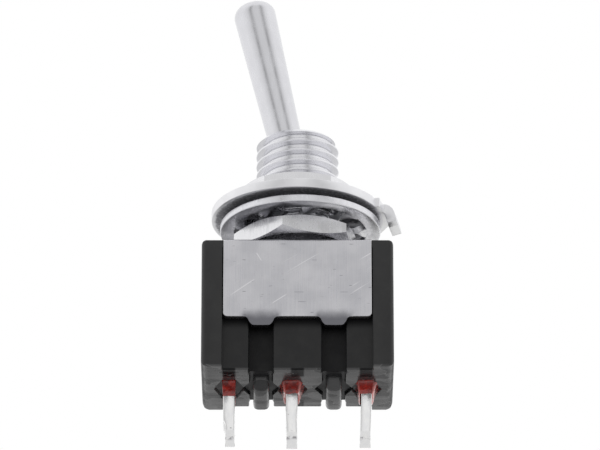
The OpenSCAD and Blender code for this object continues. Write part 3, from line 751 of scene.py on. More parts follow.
# %% Case sizes
RIB_DROP, RIB_HALF, RIB_Y, RIB_ROUND = 0.9, 0.55, 1.95, 0.38
GROOVE_X, GROOVE_HALF, GROOVE_TOP, GROOVE_FLOOR = 2.5, 0.85, -3.5, 2.58
SHEET_T, LEG_GAP, TOP_GAP = 0.55, 0.07, 0.08
SEAT_X = box_mm("frame")[1].x + 0.005   # the bracket's top fills its seat
FLAT_X = SEAT_X + 0.065                 # and its legs stand a little free of the columns,
LEDGE_Z = -SHEET_T - 0.1                # below a narrow ledge
CAVITY_X, CAVITY_Y, FLOOR_T = SEAT_X - 0.12, 1.9, 2.0   # the bracket covers the cavity
LUG_X = (-4.7, -0.4, 4.7)
LUG_HALF_T, LUG_HALF_W = 0.4, 1.0
CASE_LOW, CASE_HIGH = box_mm("case")
CASE_BOTTOM, CASE_TOP = CASE_LOW.z + RIB_DROP, CASE_HIGH.z - TOP_GAP
CAVITY_FLOOR = CASE_BOTTOM + FLOOR_T
LEG_FACE = CASE_HIGH.y - SHEET_T - LEG_GAP
OUT = 20                                # well past any face
print(f"case bottom {CASE_BOTTOM:.2f}, top {CASE_TOP:.2f}, seat {2 * SEAT_X:.2f} mm wide")

# %% Case blocks
case = block("case_moulding", (CASE_LOW.x, CASE_LOW.y, CASE_BOTTOM),
             (CASE_HIGH.x, CASE_HIGH.y, CASE_TOP))
for side in (-1, 1):
    low_y, high_y = sorted((side * LEG_FACE, side * OUT))
    join_solid(case, block("flat", (-SEAT_X, low_y, -OUT), (SEAT_X, high_y, OUT)), "DIFFERENCE")
    join_solid(case, block("gap", (-FLAT_X, low_y, -OUT), (FLAT_X, high_y, LEDGE_Z)), "DIFFERENCE")
    low_y, high_y = sorted((side * GROOVE_FLOOR, side * OUT))
    for x in (-GROOVE_X, GROOVE_X):
        join_solid(case, block("groove", (x - GROOVE_HALF, low_y, -OUT),
                               (x + GROOVE_HALF, high_y, GROOVE_TOP)), "DIFFERENCE")
join_solid(case, block("seat", (-SEAT_X, -OUT, -SHEET_T), (SEAT_X, OUT, OUT)), "DIFFERENCE")
join_solid(case, block("cavity", (-CAVITY_X, -CAVITY_Y, CAVITY_FLOOR),
                       (CAVITY_X, CAVITY_Y, OUT)), "DIFFERENCE")
print("case:", len(case.data.polygons), "faces before its edges are rounded")

# %% [markdown]
# ## Edges of the case
# A mould gives each kind of edge its own radius: wide where the case is held, next to none
# where the bracket seats. One Bevel can do them all, if each edge carries its share of the
# widest radius as a weight. The share is worked out from where the edge lies.

# %% Case edges
CORNER_ROUND, BOTTOM_ROUND, TOP_ROUND = 0.35, 0.5, 0.28
SEAT_ROUND, LEG_ROUND, GROOVE_ROUND = 0.03, 0.05, 0.09
RIB_END_ROUND, RIB_CORNER_ROUND = 0.3, 0.2


def edge_radius(middle, along, near=0.02):
    """The radius of one of the case's edges, from where it lies."""
    at_side = abs(abs(middle.x) - CASE_HIGH.x) < near
    at_face = abs(abs(middle.y) - CASE_HIGH.y) < near
    if at_side and at_face:
        return CORNER_ROUND
    if at_side and abs(middle.z - CASE_BOTTOM) < near:
        return BOTTOM_ROUND
    if at_side and abs(middle.z - CASE_TOP) < near:
        return TOP_ROUND
    if abs(abs(middle.x) - SEAT_X) < near and middle.z > -SHEET_T - near:
        return SEAT_ROUND
    if SEAT_X - near < abs(middle.x) < FLAT_X + near:
        return 0.0 if middle.z > LEDGE_Z - near else LEG_ROUND
    inside = abs(middle.x) < CAVITY_X + 0.1 and abs(middle.y) < CAVITY_Y + 0.1
    return 0.0 if inside else GROOVE_ROUND


def rib_radius(middle, along):
    """A barrier rib is rounded most along its foot, then at the foot's ends and its corners."""
    if middle.z > CASE_BOTTOM:
        return 0.0
    low = abs(middle.z - CASE_LOW.z) < 0.02
    if low and abs(along.x) > 0.9:
        return RIB_END_ROUND
    return RIB_ROUND if low else RIB_CORNER_ROUND


def weigh_edges(obj, radius_of, widest, sharp=30):
    """Cleans coplanar faces and gives each sharp edge its share of the widest bevel."""
    shape = bmesh.new()
    shape.from_mesh(obj.data)
    bmesh.ops.remove_doubles(shape, verts=shape.verts, dist=1e-4)
    bmesh.ops.dissolve_limit(shape, angle_limit=math.radians(1), verts=shape.verts,
                             edges=shape.edges)
    layer = shape.edges.layers.float.new("bevel_weight_edge")
    for edge in shape.edges:
        if len(edge.link_faces) == 2 and edge.calc_face_angle() > math.radians(sharp):
            a, b = (v.co for v in edge.verts)
            edge[layer] = radius_of((a + b) / 2, (b - a).normalized()) / widest
    shape.to_mesh(obj.data)
    shape.free()


weigh_edges(case, edge_radius, BOTTOM_ROUND)
round_edges(case, BOTTOM_ROUND, 5, weighted=True)
settle(case)
print("case:", len(case.data.polygons), "faces with its edges rounded")

# %% [markdown]
# ## Wells and ribs under the case
# Round each lug the mould leaves a shallow well for the epoxy, and between the lugs a hollow
# with a barrier rib in it, which keeps solder and stray strands apart. A well has six corners,
# a hollow ten, and their walls lean, so they are cut with tapered prisms after the Bevel, and
# stay crisp. The ribs are rounded alone and set in last, so their soft foot is not cut again.

# %% Case wells and ribs
WELL = [(-0.45, -1.35), (0.45, -1.35), (1.0, 0.15), (0.5, 1.65), (-0.5, 1.65), (-0.95, 0.1)]
HOLLOW = [(-0.74, -2.9), (0.74, -2.9), (0.74, -0.9), (1.2, 0.1), (0.74, 1.1), (0.78, 2.9),
          (-0.78, 2.9), (-0.74, 1.1), (-1.2, 0.1), (-0.74, -0.9)]
WELL_DEEP, HOLLOW_DEEP, WALL_LEAN = 0.16, 0.2, 0.12
RIB_ROOT = 0.8                          # how far a rib reaches up into the case


def prism(name, outline, low, high, taper=1.0, centre=(0, 0)):
    """An upright prism over an outline in X and Y; `taper` scales its lower end."""
    n = len(outline)
    cx, cy = centre
    points = [(cx + (x - cx) * taper, cy + (y - cy) * taper, low) for x, y in outline]
    points += [(x, y, high) for x, y in outline]
    faces = [tuple(range(n))[::-1], tuple(range(n, 2 * n))]
    faces += [(i, (i + 1) % n, n + (i + 1) % n, n + i) for i in range(n)]
    return tidy(drawn(name, points, faces))


def hollow(outline, x, depth, lean):
    """Cuts a hollow into the underside; its walls lean outwards by a share of its size."""
    points = [(x + px, py) for px, py in outline]
    join_solid(case, prism("hollow", points, CASE_BOTTOM - 0.01, CASE_BOTTOM + depth,
                           taper=1 + lean, centre=(x, 0)), "DIFFERENCE")


for x in (-GROOVE_X, GROOVE_X):
    hollow(HOLLOW, x, HOLLOW_DEEP, WALL_LEAN)
for x in LUG_X:
    hollow(WELL, x, WELL_DEEP, WALL_LEAN)
    join_solid(case, block("slot", (x - LUG_HALF_T, -LUG_HALF_W, -OUT),
                           (x + LUG_HALF_T, LUG_HALF_W, CAVITY_FLOOR + 1)), "DIFFERENCE")
for x in (-GROOVE_X, GROOVE_X):
    rib = block("rib", (x - RIB_HALF, -RIB_Y, CASE_LOW.z),
                (x + RIB_HALF, RIB_Y, CASE_BOTTOM + RIB_ROOT))
    weigh_edges(rib, rib_radius, RIB_ROUND)
    round_edges(rib, RIB_ROUND, 4, weighted=True)
    settle(rib)
    join_solid(case, rib, "UNION")
publish(case, moulded, "base", "moulded_case", "case", crisp=40)

# %% [markdown]
# ## Turned shapes and sheet
# Two more ways to draw. `lathe` turns an outline about the upright axis, as a lathe would:
# good for every round piece and for every round hole. `shell` puts a wall round two skins that
# share one pattern of faces. A Solidify would give sheet of one thickness, but here the two
# skins may be drawn apart, so a fold keeps its sharp inside and a strip may thin out.

# %% Turned shapes and sheet
def lathe(name, profile, steps=96):
    """Turns points (radius, height) about Z, in so many steps. Radius 0 is a pole."""
    points, rings = [], []
    for radius, height in profile:
        count = steps if radius > 0 else 1
        rings.append(range(len(points), len(points) + count))
        points += [(radius * math.cos(2 * math.pi * i / steps),
                    radius * math.sin(2 * math.pi * i / steps), height)
                   for i in range(count)]
    faces = []
    for a, b in zip(rings, rings[1:]):
        for i in range(steps):
            j = (i + 1) % steps
            corner = [a[i % len(a)], a[j % len(a)], b[j % len(b)], b[i % len(b)]]
            faces.append(tuple(dict.fromkeys(corner)))
    return tidy(drawn(name, points, faces))


def shell(name, outer, inner, faces):
    """A sheet between two skins that share one pattern of faces, closed round its rim."""
    n = len(outer)
    used = {pair for face in faces for pair in zip(face, face[1:] + face[:1])}
    walls = [(b, a, a + n, b + n) for a, b in sorted(used) if (b, a) not in used]
    back = [tuple(i + n for i in reversed(face)) for face in faces]
    return tidy(drawn(name, list(outer) + list(inner), list(faces) + back + walls))


print("solid kit: lathe, shell")

# %% [markdown]
# ## Bracket
# The bracket is one strip of sheet steel, folded twice and pressed over the case. It could be
# cut from a block, but it is drawn the way it is made: a flat blank with four tongues at its
# ends, wrapped round the folds and dished where the punch crimps each tongue. The blank is a
# net of rows and columns, set closer where the sheet bends or ends in a corner.

# %% Bracket blank
BRACKET_LOW, BRACKET_HIGH = box_mm("frame")
BRACKET_X, BRACKET_Y = BRACKET_HIGH.x, BRACKET_HIGH.y
FOLD_R, LEG_END, TONGUE_END, CORNER = 0.22, -5.8, BRACKET_LOW.z, 0.3
TONGUE_X, TONGUE_ROOT, TONGUE_TIP = 2.5, 1.06, 0.76
CORNER_STEPS, TONGUE_STEPS, FOLD_ROWS, TOP_ROWS = 5, 8, 6, 24

across = [0, 0.3, 0.55, 0.72, 0.79, 0.86, 0.93, 1.0]
columns = sorted({round(s * x, 4) for s in (-1, 1) for x in
                  [0.0, 0.35, 0.7, 1.05, 1.25] + [3.75, 3.95, 4.25, 4.6]
                  + [TONGUE_X + t * a * TONGUE_ROOT for t in (-1, 1) for a in across]
                  + [BRACKET_X - CORNER + CORNER * k / CORNER_STEPS for k in range(CORNER_STEPS + 1)]})
drops = [-0.22, -0.55, -1.0, -1.6, -2.2, -2.8, -3.4, -4.0, -4.5, -4.9, -5.15, -5.35]
drops += [LEG_END + CORNER - CORNER * k / CORNER_STEPS for k in range(CORNER_STEPS + 1)]
shares = [k / TONGUE_STEPS for k in range(1, TONGUE_STEPS + 1)]
print("blank:", len(columns), "columns,", len(drops), "rows down each leg")

# %% [markdown]
# ## How the sheet lies
# Two rules place every point of the blank. `press` says how far the punch has pushed the sheet
# in, deepest at the middle of a tongue. `leg_point` rounds the corners of the leg and draws
# each tongue in towards its tip. `skins` then carries a point to the outer and inner skin.

# %% Punch and folds
PRESS_START, PRESS_IN, PRESS_DISH = LEG_END + 0.65, 0.36, 0.03
PRESS_SPREAD = TONGUE_ROOT + 0.25       # half the width that the punch draws along
TONGUE_CORNER, CORNER_FROM = 0.24, 0.72  # its rounded lower corners, as size and as share
TONGUE_FLARE, TONGUE_FILLET = 0.18, 0.12  # how much wider it grows, and runs out, at its root


def press(x, z):
    """How far the punch has pushed the sheet in at a place on a leg."""
    off = abs(abs(x) - TONGUE_X) / PRESS_SPREAD
    down = min(1.0, max(0.0, (PRESS_START - z) / (PRESS_START - TONGUE_END)))
    spread = max(0.0, 1 - off ** 2.5)
    return spread * (PRESS_IN * down ** 1.6 + PRESS_DISH * math.sin(math.pi * down) ** 2)


def leg_point(x, z):
    """A place on the front leg's outer face: corners rounded, tongues drawn in."""
    edge, foot = BRACKET_X - CORNER, LEG_END + CORNER
    if abs(x) > edge and z < foot:
        a, b = (abs(x) - edge) / CORNER, (foot - z) / CORNER
        x = math.copysign(edge + a * math.sqrt(1 - b * b / 2) * CORNER, x)
        z = foot - b * math.sqrt(1 - a * a / 2) * CORNER
    if z < LEG_END - 1e-6:
        middle = math.copysign(TONGUE_X, x)
        share = (LEG_END - z) / (LEG_END - TONGUE_END)
        off = (x - middle) / TONGUE_ROOT
        half = TONGUE_TIP + TONGUE_FLARE * (1 - share) + TONGUE_FILLET * (1 - share) ** 8
        a, b = max(0.0, (abs(off) - CORNER_FROM) / (1 - CORNER_FROM)), max(0.0, share * 2 - 1)
        pull_x = a * (1 - math.sqrt(1 - b * b / 2)) * (1 - CORNER_FROM)
        off = math.copysign(abs(off) - pull_x, off)
        x = middle + off * half
        z += b * (1 - math.sqrt(1 - a * a / 2)) * TONGUE_CORNER
    return x, -BRACKET_Y + press(x, z), z


def skins(kind, x, value, side):
    """A blank point's places on the outer and on the inner skin."""
    inner_y = BRACKET_Y - SHEET_T
    if kind == "leg":
        px, py, pz = leg_point(x, value)
        outer, inner = (px, py, pz), (px, py + SHEET_T, min(pz, -SHEET_T))
    elif kind == "fold":
        middle = BRACKET_Y - FOLD_R
        outer = (x, -middle - FOLD_R * math.cos(value), -FOLD_R + FOLD_R * math.sin(value))
        inner = (x, -inner_y, -SHEET_T)
    else:
        return (x, value, 0.0), (x, max(-inner_y, min(inner_y, value)), -SHEET_T)
    return tuple((p[0], -side * p[1], p[2]) for p in (outer, inner))


print(f"tongue pressed in by {press(TONGUE_X, TONGUE_END):.2f} mm at its tip")

# %% [markdown]
# ## The blank becomes the bracket
# Points are added row by row down one leg, over the top and down the other. Each is kept under
# its row and column, so neighbouring faces share it and the sheet has no seams. The tongues go
# on below the legs, the hole for the bushing is cut, and a fine Bevel breaks the edges.

# %% Bracket
HOLE_R = 2.52
EDGE_BREAK = 0.04

outer, inner, faces, index = [], [], [], {}


def blank_point(key, kind, x, value, side):
    """Adds a point of the blank once, under its row and column."""
    if key not in index:
        index[key] = len(outer)
        a, b = skins(kind, x, value, side)
        outer.append(a)
        inner.append(b)
    return index[key]


flat_y = BRACKET_Y - FOLD_R
leg_rows = [("leg", z) for z in reversed(drops)]
leg_rows += [("fold", math.radians(90 * k / FOLD_ROWS)) for k in range(1, FOLD_ROWS)]
strip = [(kind, value, -1) for kind, value in leg_rows]
strip += [("top", -flat_y + 2 * flat_y * k / TOP_ROWS, 1) for k in range(TOP_ROWS + 1)]
strip += [(kind, value, 1) for kind, value in reversed(leg_rows)]
for row, (kind, value, side) in enumerate(strip):
    for col, x in enumerate(columns):
        blank_point((row, col), kind, x, value, side)
for row in range(len(strip) - 1):
    for col in range(len(columns) - 1):
        faces.append((index[row, col], index[row, col + 1], index[row + 1, col + 1],
                      index[row + 1, col]))
for side, foot_row in ((-1, 0), (1, len(strip) - 1)):
    for col in range(len(columns) - 1):
        if abs(abs(columns[col] + columns[col + 1]) / 2 - TONGUE_X) > TONGUE_ROOT:
            continue
        above = (index[foot_row, col], index[foot_row, col + 1])
        for share in shares:
            z = LEG_END + (TONGUE_END - LEG_END) * share
            below = tuple(blank_point((side, share, c), "leg", columns[c], z, side)
                          for c in (col, col + 1))
            quad = (below[0], below[1], above[1], above[0])
            faces.append(quad if side < 0 else quad[::-1])
            above = below
bracket = shell("bracket_sheet", outer, inner, faces)
hole = lathe("hole", [(0, -2), (HOLE_R, -2), (HOLE_R, 1), (0, 1)], 72)
join_solid(bracket, hole, "DIFFERENCE")
round_edges(bracket, EDGE_BREAK, 2, 50)
publish(bracket, plated_sheet, "base", "plated_sheet", "frame", crisp=35)

# %% [markdown]
# ## Building Geometry Nodes in a script
# What repeats or follows a path is drawn by Geometry Nodes. Their tree could be wired in the
# editor, but built here it can be read like the rest. A tree gets a named input for each of its
# sizes, ends in plain geometry with its material set, and is used through a modifier, whose
# inputs are set before it is first evaluated.

# %% Tree helpers
def new_tree(name, **sizes):
    """A Geometry Nodes tree with a named input for each size; returns it and its inputs."""
    tree = bpy.data.node_groups.new(name, "GeometryNodeTree")
    tree.is_modifier = True
    tree.interface.new_socket("Geometry", in_out="INPUT", socket_type="NodeSocketGeometry")
    for size, value in sizes.items():
        kind = "NodeSocketInt" if isinstance(value, int) else "NodeSocketFloat"
        socket = tree.interface.new_socket(size.replace("_", " "), in_out="INPUT",
                                           socket_type=kind)
        socket.default_value = value
    tree.interface.new_socket("Geometry", in_out="OUTPUT", socket_type="NodeSocketGeometry")
    return tree, node(tree, "NodeGroupInput").outputs


def end_tree(tree, geometry, material):
    """Ends a tree in Realize Instances and Set Material."""
    real = node(tree, "GeometryNodeRealizeInstances", {0: geometry})
    made = node(tree, "GeometryNodeSetMaterial", {"Geometry": real.outputs[0],
                                                  "Material": material})
    node(tree, "NodeGroupOutput", {0: made.outputs[0]})


def grown(name, tree, **values):
    """An object whose mesh a tree makes, with the tree's inputs set by their identifiers."""
    obj = drawn(name)
    modifier = obj.modifiers.new("tree", "NODES")
    modifier.node_group = tree
    for item in tree.interface.items_tree:
        key = item.name.replace(" ", "_")
        if item.in_out == "INPUT" and key in values:
            modifier[item.identifier] = values[key]
    return settle(obj)


print("tree kit: new_tree, end_tree, grown")

# %% [markdown]
# ## Rolled thread
# The bushing's thread is rolled: a ridge with rounded corners that winds up a core. Stacked
# rings would look alike from afar, but their ends would not run out. So a trapezoid is swept
# along a spiral and joined to a core. The same tree makes the bushing's thread and, a hair
# larger, the tap that cuts the threads of the two nuts, so the pieces mate as real ones do.

# %% Joining and placing in a tree
def combine(tree, operation, first, *others):
    """A Mesh Boolean node."""
    made = node(tree, "GeometryNodeMeshBoolean", operation=operation, solver="EXACT")
    if operation == "DIFFERENCE":
        tree.links.new(first, made.inputs["Mesh 1"])
    else:
        others = (first, *others)
    for other in others:
        tree.links.new(other, made.inputs["Mesh 2"])
    return made.outputs["Mesh"]


def vector(tree, x=0.0, y=0.0, z=0.0):
    """A Combine XYZ node."""
    return node(tree, "ShaderNodeCombineXYZ", {0: x, 1: y, 2: z}).outputs[0]


print("tree kit: combine, vector")

# %% Thread tree
thread, size = new_tree("rolled_thread", Root_Radius=2.4, Depth=0.4, Pitch=0.75,
                        Crest_Width=0.1, Root_Gap=0.1, Start=0.0, Turns=10.0)
EMBED = 0.05                            # how far the ridge is sunk into the core
ROUND_STEPS, RIDGE_ROUND = 96, 0.07
tall = calc(thread, "ADD", size["Depth"], EMBED)
path_radius = calc(thread, "ADD", size["Root Radius"],
                   calc(thread, "SUBTRACT", calc(thread, "MULTIPLY", tall, 0.5), EMBED))
rise = calc(thread, "MULTIPLY", size["Pitch"], size["Turns"])
spiral = node(thread, "GeometryNodeCurveSpiral", {
    "Resolution": ROUND_STEPS, "Rotations": size["Turns"], "Start Radius": path_radius,
    "End Radius": path_radius, "Height": rise, "Reverse": True}).outputs[0]
lifted = node(thread, "GeometryNodeTransform", {
    "Geometry": spiral, "Translation": vector(thread, z=size["Start"])}).outputs[0]
upright = node(thread, "GeometryNodeSetCurveNormal", {"Curve": lifted}, mode="Z_UP").outputs[0]
section = node(thread, "GeometryNodeCurvePrimitiveQuadrilateral", {
    "Height": tall, "Bottom Width": calc(thread, "SUBTRACT", size["Pitch"], size["Root Gap"]),
    "Top Width": size["Crest Width"], "Offset": 0.0}, mode="TRAPEZOID").outputs[0]
section = node(thread, "GeometryNodeFilletCurve", {
    "Curve": section, "Count": 2, "Radius": RIDGE_ROUND, "Limit Radius": True}, mode="POLY"
).outputs[0]
section = node(thread, "GeometryNodeTransform", {
    "Geometry": section, "Rotation": (0, 0, math.radians(-90))}).outputs[0]
ridge = node(thread, "GeometryNodeCurveToMesh", {
    "Curve": upright, "Profile Curve": section, "Fill Caps": True}).outputs[0]
core = node(thread, "GeometryNodeMeshCylinder", {
    "Vertices": ROUND_STEPS, "Radius": size["Root Radius"],
    "Depth": calc(thread, "ADD", rise, size["Pitch"])}).outputs["Mesh"]
core = node(thread, "GeometryNodeTransform", {
    "Geometry": core, "Translation": vector(thread, z=calc(
        thread, "ADD", size["Start"], calc(thread, "MULTIPLY", rise, 0.5)))}).outputs[0]
end_tree(thread, combine(thread, "UNION", core, ridge), plated_brass)
print("tree:", thread.name, "with", len(thread.nodes), "nodes")

# %% [markdown]
# ## Bushing
# The bushing is a turned sleeve, threaded, slotted for the lever's pin and staked to the
# bracket. It is made in the order of the workshop: the thread, a turned envelope that trims it
# to length and chamfers its end, the flange under the bracket, the bore with its round seat
# for the lever's ball, the two slots and the keyway.

# %% Bushing
BUSHING_LOW, BUSHING_HIGH = box_mm("bushing")
TOP = BUSHING_HIGH.z
THREAD_R, PITCH, THREAD_DEPTH, CREST, THREAD_START = BUSHING_HIGH.x, 0.75, 0.42, 0.13, 0.3
ROOT_R, RIM_CHAMFER, PHASE = THREAD_R - THREAD_DEPTH, 0.34, 0.53
PIVOT_Z, BORE_R, SEAT_R, THROAT_R, MOUTH_R = 5.4, 2.1, 2.08, 1.53, 2.05
LEAD_CHAMFER, MOUTH_FLARE = 0.3, 0.14
FLANGE_R, FLANGE_TOP, STAKE_R = 2.75, -0.56, 2.5
SLOT_HALF, SLOT_Y, KEYWAY_Y = 0.45, 2.27, 2.5
TURNS = math.ceil((TOP - THREAD_START) / PITCH) + 1

bushing = grown("threaded_bushing", thread, Root_Radius=ROOT_R, Depth=THREAD_DEPTH,
                Pitch=PITCH, Crest_Width=CREST, Root_Gap=0.12, Start=THREAD_START + PHASE,
                Turns=float(TURNS))
FREE = 0.03                             # the envelope only trims the two ends
envelope = [(0, THREAD_START), (THREAD_R - LEAD_CHAMFER, THREAD_START),
            (THREAD_R + FREE, THREAD_START + LEAD_CHAMFER),
            (THREAD_R + FREE, TOP - RIM_CHAMFER - FREE), (THREAD_R - RIM_CHAMFER, TOP), (0, TOP)]
join_solid(bushing, lathe("envelope", envelope, 192), "INTERSECT")
foot = [(0, BUSHING_LOW.z), (FLANGE_R, BUSHING_LOW.z), (FLANGE_R, FLANGE_TOP),
        (STAKE_R, FLANGE_TOP), (STAKE_R, THREAD_START + 0.1), (0, THREAD_START + 0.1)]
join_solid(bushing, lathe("foot", foot, 96), "UNION")
throat_z = PIVOT_Z + math.sqrt(SEAT_R ** 2 - THROAT_R ** 2)
seat = [(SEAT_R * math.cos(a), PIVOT_Z + SEAT_R * math.sin(a))
        for a in (k / 8 * math.asin((throat_z - PIVOT_Z) / SEAT_R) for k in range(9))]
bore = [(0, -3), (BORE_R, -3), (BORE_R, PIVOT_Z - 0.2)] + seat
bore += [(MOUTH_R, TOP - 0.12), (MOUTH_R + MOUTH_FLARE, TOP + 0.02),
         (MOUTH_R + MOUTH_FLARE, TOP + 1), (0, TOP + 1)]
join_solid(bushing, lathe("bore", bore, 96), "DIFFERENCE")
slots = block("slots", (-SLOT_HALF, -SLOT_Y, -3), (SLOT_HALF, SLOT_Y, PIVOT_Z + 0.2))
join_solid(bushing, slots, "DIFFERENCE")
keyway = block("keyway", (-SLOT_HALF, KEYWAY_Y, THREAD_START), (SLOT_HALF, 4, TOP + 1))
join_solid(bushing, keyway, "DIFFERENCE")
publish(bushing, plated_brass, "base", "plated_brass", "bushing", crisp=28)

# %% [markdown]
# ## Nuts
# Two hexagon nuts sit on the bushing, one under the panel and one over it. A Bevel would
# chamfer their corners with straight facets, where a turned nut shows a curved line. So both
# come from one tree: a hexagon, trimmed by two cones, with a countersunk hole. A tap made by
# the thread tree then cuts the thread.

# %% Nut tree
nut, size = new_tree("hexagon_nut", Across_Flats=8.0, Thickness=1.35, Face_Radius=3.87,
                     Chamfer=27.0, Hole_Radius=2.5, Height=0.0, Turn=0.0)
slope = calc(nut, "TANGENT", calc(nut, "RADIANS", size["Chamfer"]))
flare = calc(nut, "ADD", size["Face Radius"], calc(nut, "DIVIDE", size["Thickness"], slope))
corner = calc(nut, "DIVIDE", size["Across Flats"], 2 * math.cos(math.radians(30)))
hexagon = node(nut, "GeometryNodeMeshCylinder", {"Vertices": 6, "Radius": corner,
                                                 "Depth": size["Thickness"]}).outputs["Mesh"]
hexagon = node(nut, "GeometryNodeTransform", {
    "Geometry": hexagon, "Rotation": vector(nut, z=calc(nut, "RADIANS", size["Turn"]))
}).outputs[0]


def cone(tree, top, bottom, depth, base):
    """A truncated cone of 96 sides that stands on `base`."""
    made = node(tree, "GeometryNodeMeshCone", {"Vertices": 96, "Radius Top": top,
                                               "Radius Bottom": bottom, "Depth": depth})
    return node(tree, "GeometryNodeTransform", {
        "Geometry": made.outputs["Mesh"], "Translation": vector(tree, z=base)}).outputs[0]


half = calc(nut, "MULTIPLY", size["Thickness"], -0.5)
SINK = 0.22                             # depth of the countersinks
opened = calc(nut, "ADD", size["Hole Radius"], 2 * SINK)
solid = combine(nut, "INTERSECT", hexagon,
                cone(nut, flare, size["Face Radius"], size["Thickness"], half),
                cone(nut, size["Face Radius"], flare, size["Thickness"], half))
solid = combine(nut, "DIFFERENCE", solid,
                cone(nut, size["Hole Radius"], size["Hole Radius"], 4.0, -2.0),
                cone(nut, size["Hole Radius"], opened, 2 * SINK,
                     calc(nut, "SUBTRACT", half, SINK)),
                cone(nut, opened, size["Hole Radius"], 2 * SINK,
                     calc(nut, "SUBTRACT", calc(nut, "MULTIPLY", half, -1.0), SINK)))
solid = node(nut, "GeometryNodeTransform", {
    "Geometry": solid, "Translation": vector(nut, z=calc(nut, "SUBTRACT", size["Height"],
                                                         half))}).outputs[0]
end_tree(nut, solid, nut_plate)
print("tree:", nut.name, "with", len(nut.nodes), "nodes")

# %% Nuts
ACROSS_FLATS, FACE_R, TAP_FREE = 8.0, 3.87, 0.02

for name, solid_name, turn in (("nut_below_panel", "lower_nut", 17.0),
                               ("nut_above_panel", "upper_nut", 0.0)):
    low, high = box_mm(solid_name)
    made = grown(name, nut, Across_Flats=ACROSS_FLATS, Thickness=high.z - low.z,
                 Face_Radius=FACE_R, Hole_Radius=ROOT_R + 0.03, Height=low.z, Turn=turn)
    tap = grown("tap", thread, Root_Radius=ROOT_R + TAP_FREE, Depth=THREAD_DEPTH + 0.01,
                Pitch=PITCH, Crest_Width=CREST + 0.03, Root_Gap=0.08,
                Start=THREAD_START + PHASE, Turns=float(TURNS))
    join_solid(made, tap, "DIFFERENCE")
    publish(made, nut_plate, "base", "zinc_plate", solid_name, crisp=25)

# %% [markdown]
# ## Lock washer
# An internal-tooth washer is a flat rim with twisted teeth that bite into the nut and the
# ring. The teeth repeat, so one is drawn and Geometry Nodes repeat it. The rim is a rounded
# section carried round a circle. The tooth is a small block, twisted and slimmed by a rule
# along its length, and instances of it stand on the points of a circle.

# %% Washer tree
RIM_ROUND, TOOTH_TAPER = 0.09, 0.22

washer, size = new_tree("tooth_washer", Outer_Radius=5.6, Rim_Width=1.0, Thickness=0.53,
                        Height=2.15, Shift=0.2, Teeth=9, Tooth_Length=1.6, Tooth_Width=1.5,
                        Tooth_Thickness=0.5, Twist=32.0)
section = node(washer, "GeometryNodeCurvePrimitiveQuadrilateral",
               {"Width": size["Rim Width"], "Height": size["Thickness"]}).outputs[0]
section = node(washer, "GeometryNodeFilletCurve", {"Curve": section, "Count": 3,
                                                   "Radius": RIM_ROUND}, mode="POLY").outputs[0]
circle = node(washer, "GeometryNodeCurvePrimitiveCircle", {
    "Resolution": 144, "Radius": calc(washer, "SUBTRACT", size["Outer Radius"], calc(
        washer, "MULTIPLY", size["Rim Width"], 0.5))}).outputs[0]
rim = node(washer, "GeometryNodeCurveToMesh", {"Curve": circle, "Profile Curve": section}
           ).outputs[0]
tooth = node(washer, "GeometryNodeMeshCube", {
    "Size": vector(washer, size["Tooth Length"], size["Tooth Width"],
                   size["Tooth Thickness"]),
    "Vertices X": 9, "Vertices Y": 4, "Vertices Z": 2}).outputs["Mesh"]
place = node(washer, "GeometryNodeInputPosition").outputs[0]
along = node(washer, "ShaderNodeSeparateXYZ", {0: place}).outputs["X"]
share = remap(washer, calc(washer, "DIVIDE", along, size["Tooth Length"]), 0.45, -0.25)
slim = node(washer, "ShaderNodeVectorMath", {
    0: place, 1: vector(washer, 1.0, calc(washer, "SUBTRACT", 1.0, calc(
        washer, "MULTIPLY", share, TOOTH_TAPER)), 1.0)}, operation="MULTIPLY").outputs[0]
twisted = node(washer, "ShaderNodeVectorRotate", {
    "Vector": slim, "Angle": calc(washer, "MULTIPLY", share, calc(
        washer, "RADIANS", size["Twist"]))}, rotation_type="X_AXIS").outputs[0]
tooth = node(washer, "GeometryNodeSetPosition", {"Geometry": tooth, "Position": twisted}
             ).outputs[0]
stations = node(washer, "GeometryNodeMeshCircle", {
    "Vertices": size["Teeth"], "Radius": calc(washer, "SUBTRACT", calc(
        washer, "SUBTRACT", size["Outer Radius"], size["Rim Width"]), calc(
        washer, "MULTIPLY", size["Tooth Length"], 0.41))}).outputs[0]
outwards = node(washer, "FunctionNodeAlignRotationToVector", {
    "Vector": node(washer, "GeometryNodeInputPosition").outputs[0]}, axis="X").outputs[0]
teeth = node(washer, "GeometryNodeInstanceOnPoints", {
    "Points": stations, "Instance": tooth, "Rotation": outwards}).outputs[0]
teeth = node(washer, "GeometryNodeRealizeInstances", {0: teeth}).outputs[0]
whole = node(washer, "GeometryNodeTransform", {
    "Geometry": combine(washer, "UNION", rim, teeth),
    "Translation": vector(washer, size["Shift"], 0.0, calc(
        washer, "ADD", size["Height"], calc(washer, "MULTIPLY", size["Thickness"], 0.5)))
}).outputs[0]
end_tree(washer, whole, washer_plate)
print("tree:", washer.name, "with", len(washer.nodes), "nodes")

# %% Washer
low, high = box_mm("lock_washer")
made = grown("tooth_washer", washer, Outer_Radius=high.y, Rim_Width=1.0, Thickness=0.53,
             Height=2.15, Shift=(low.x + high.x) / 2, Teeth=9, Tooth_Length=1.62,
             Tooth_Width=1.5, Tooth_Thickness=0.48, Twist=32.0)
round_edges(made, 0.02, 1, 45)
publish(made, washer_plate, "base", "zinc_plate", "lock_washer", crisp=35)

# %% [markdown]
# ## Sheet of one thickness
# For flat stamped parts a face is enough: Solidify gives it its thickness and a Bevel breaks
# the sheared edges. `roughen` then moves the points a little by a noise, because stamping,
# dipping and casting leave nothing quite straight. The noise gets a fixed seed, so that every
# run draws the same pieces.

# %% Sheet of one thickness
NOISE_SEED = 1                          # unset, the noise would follow the clock
noise.seed_set(NOISE_SEED)


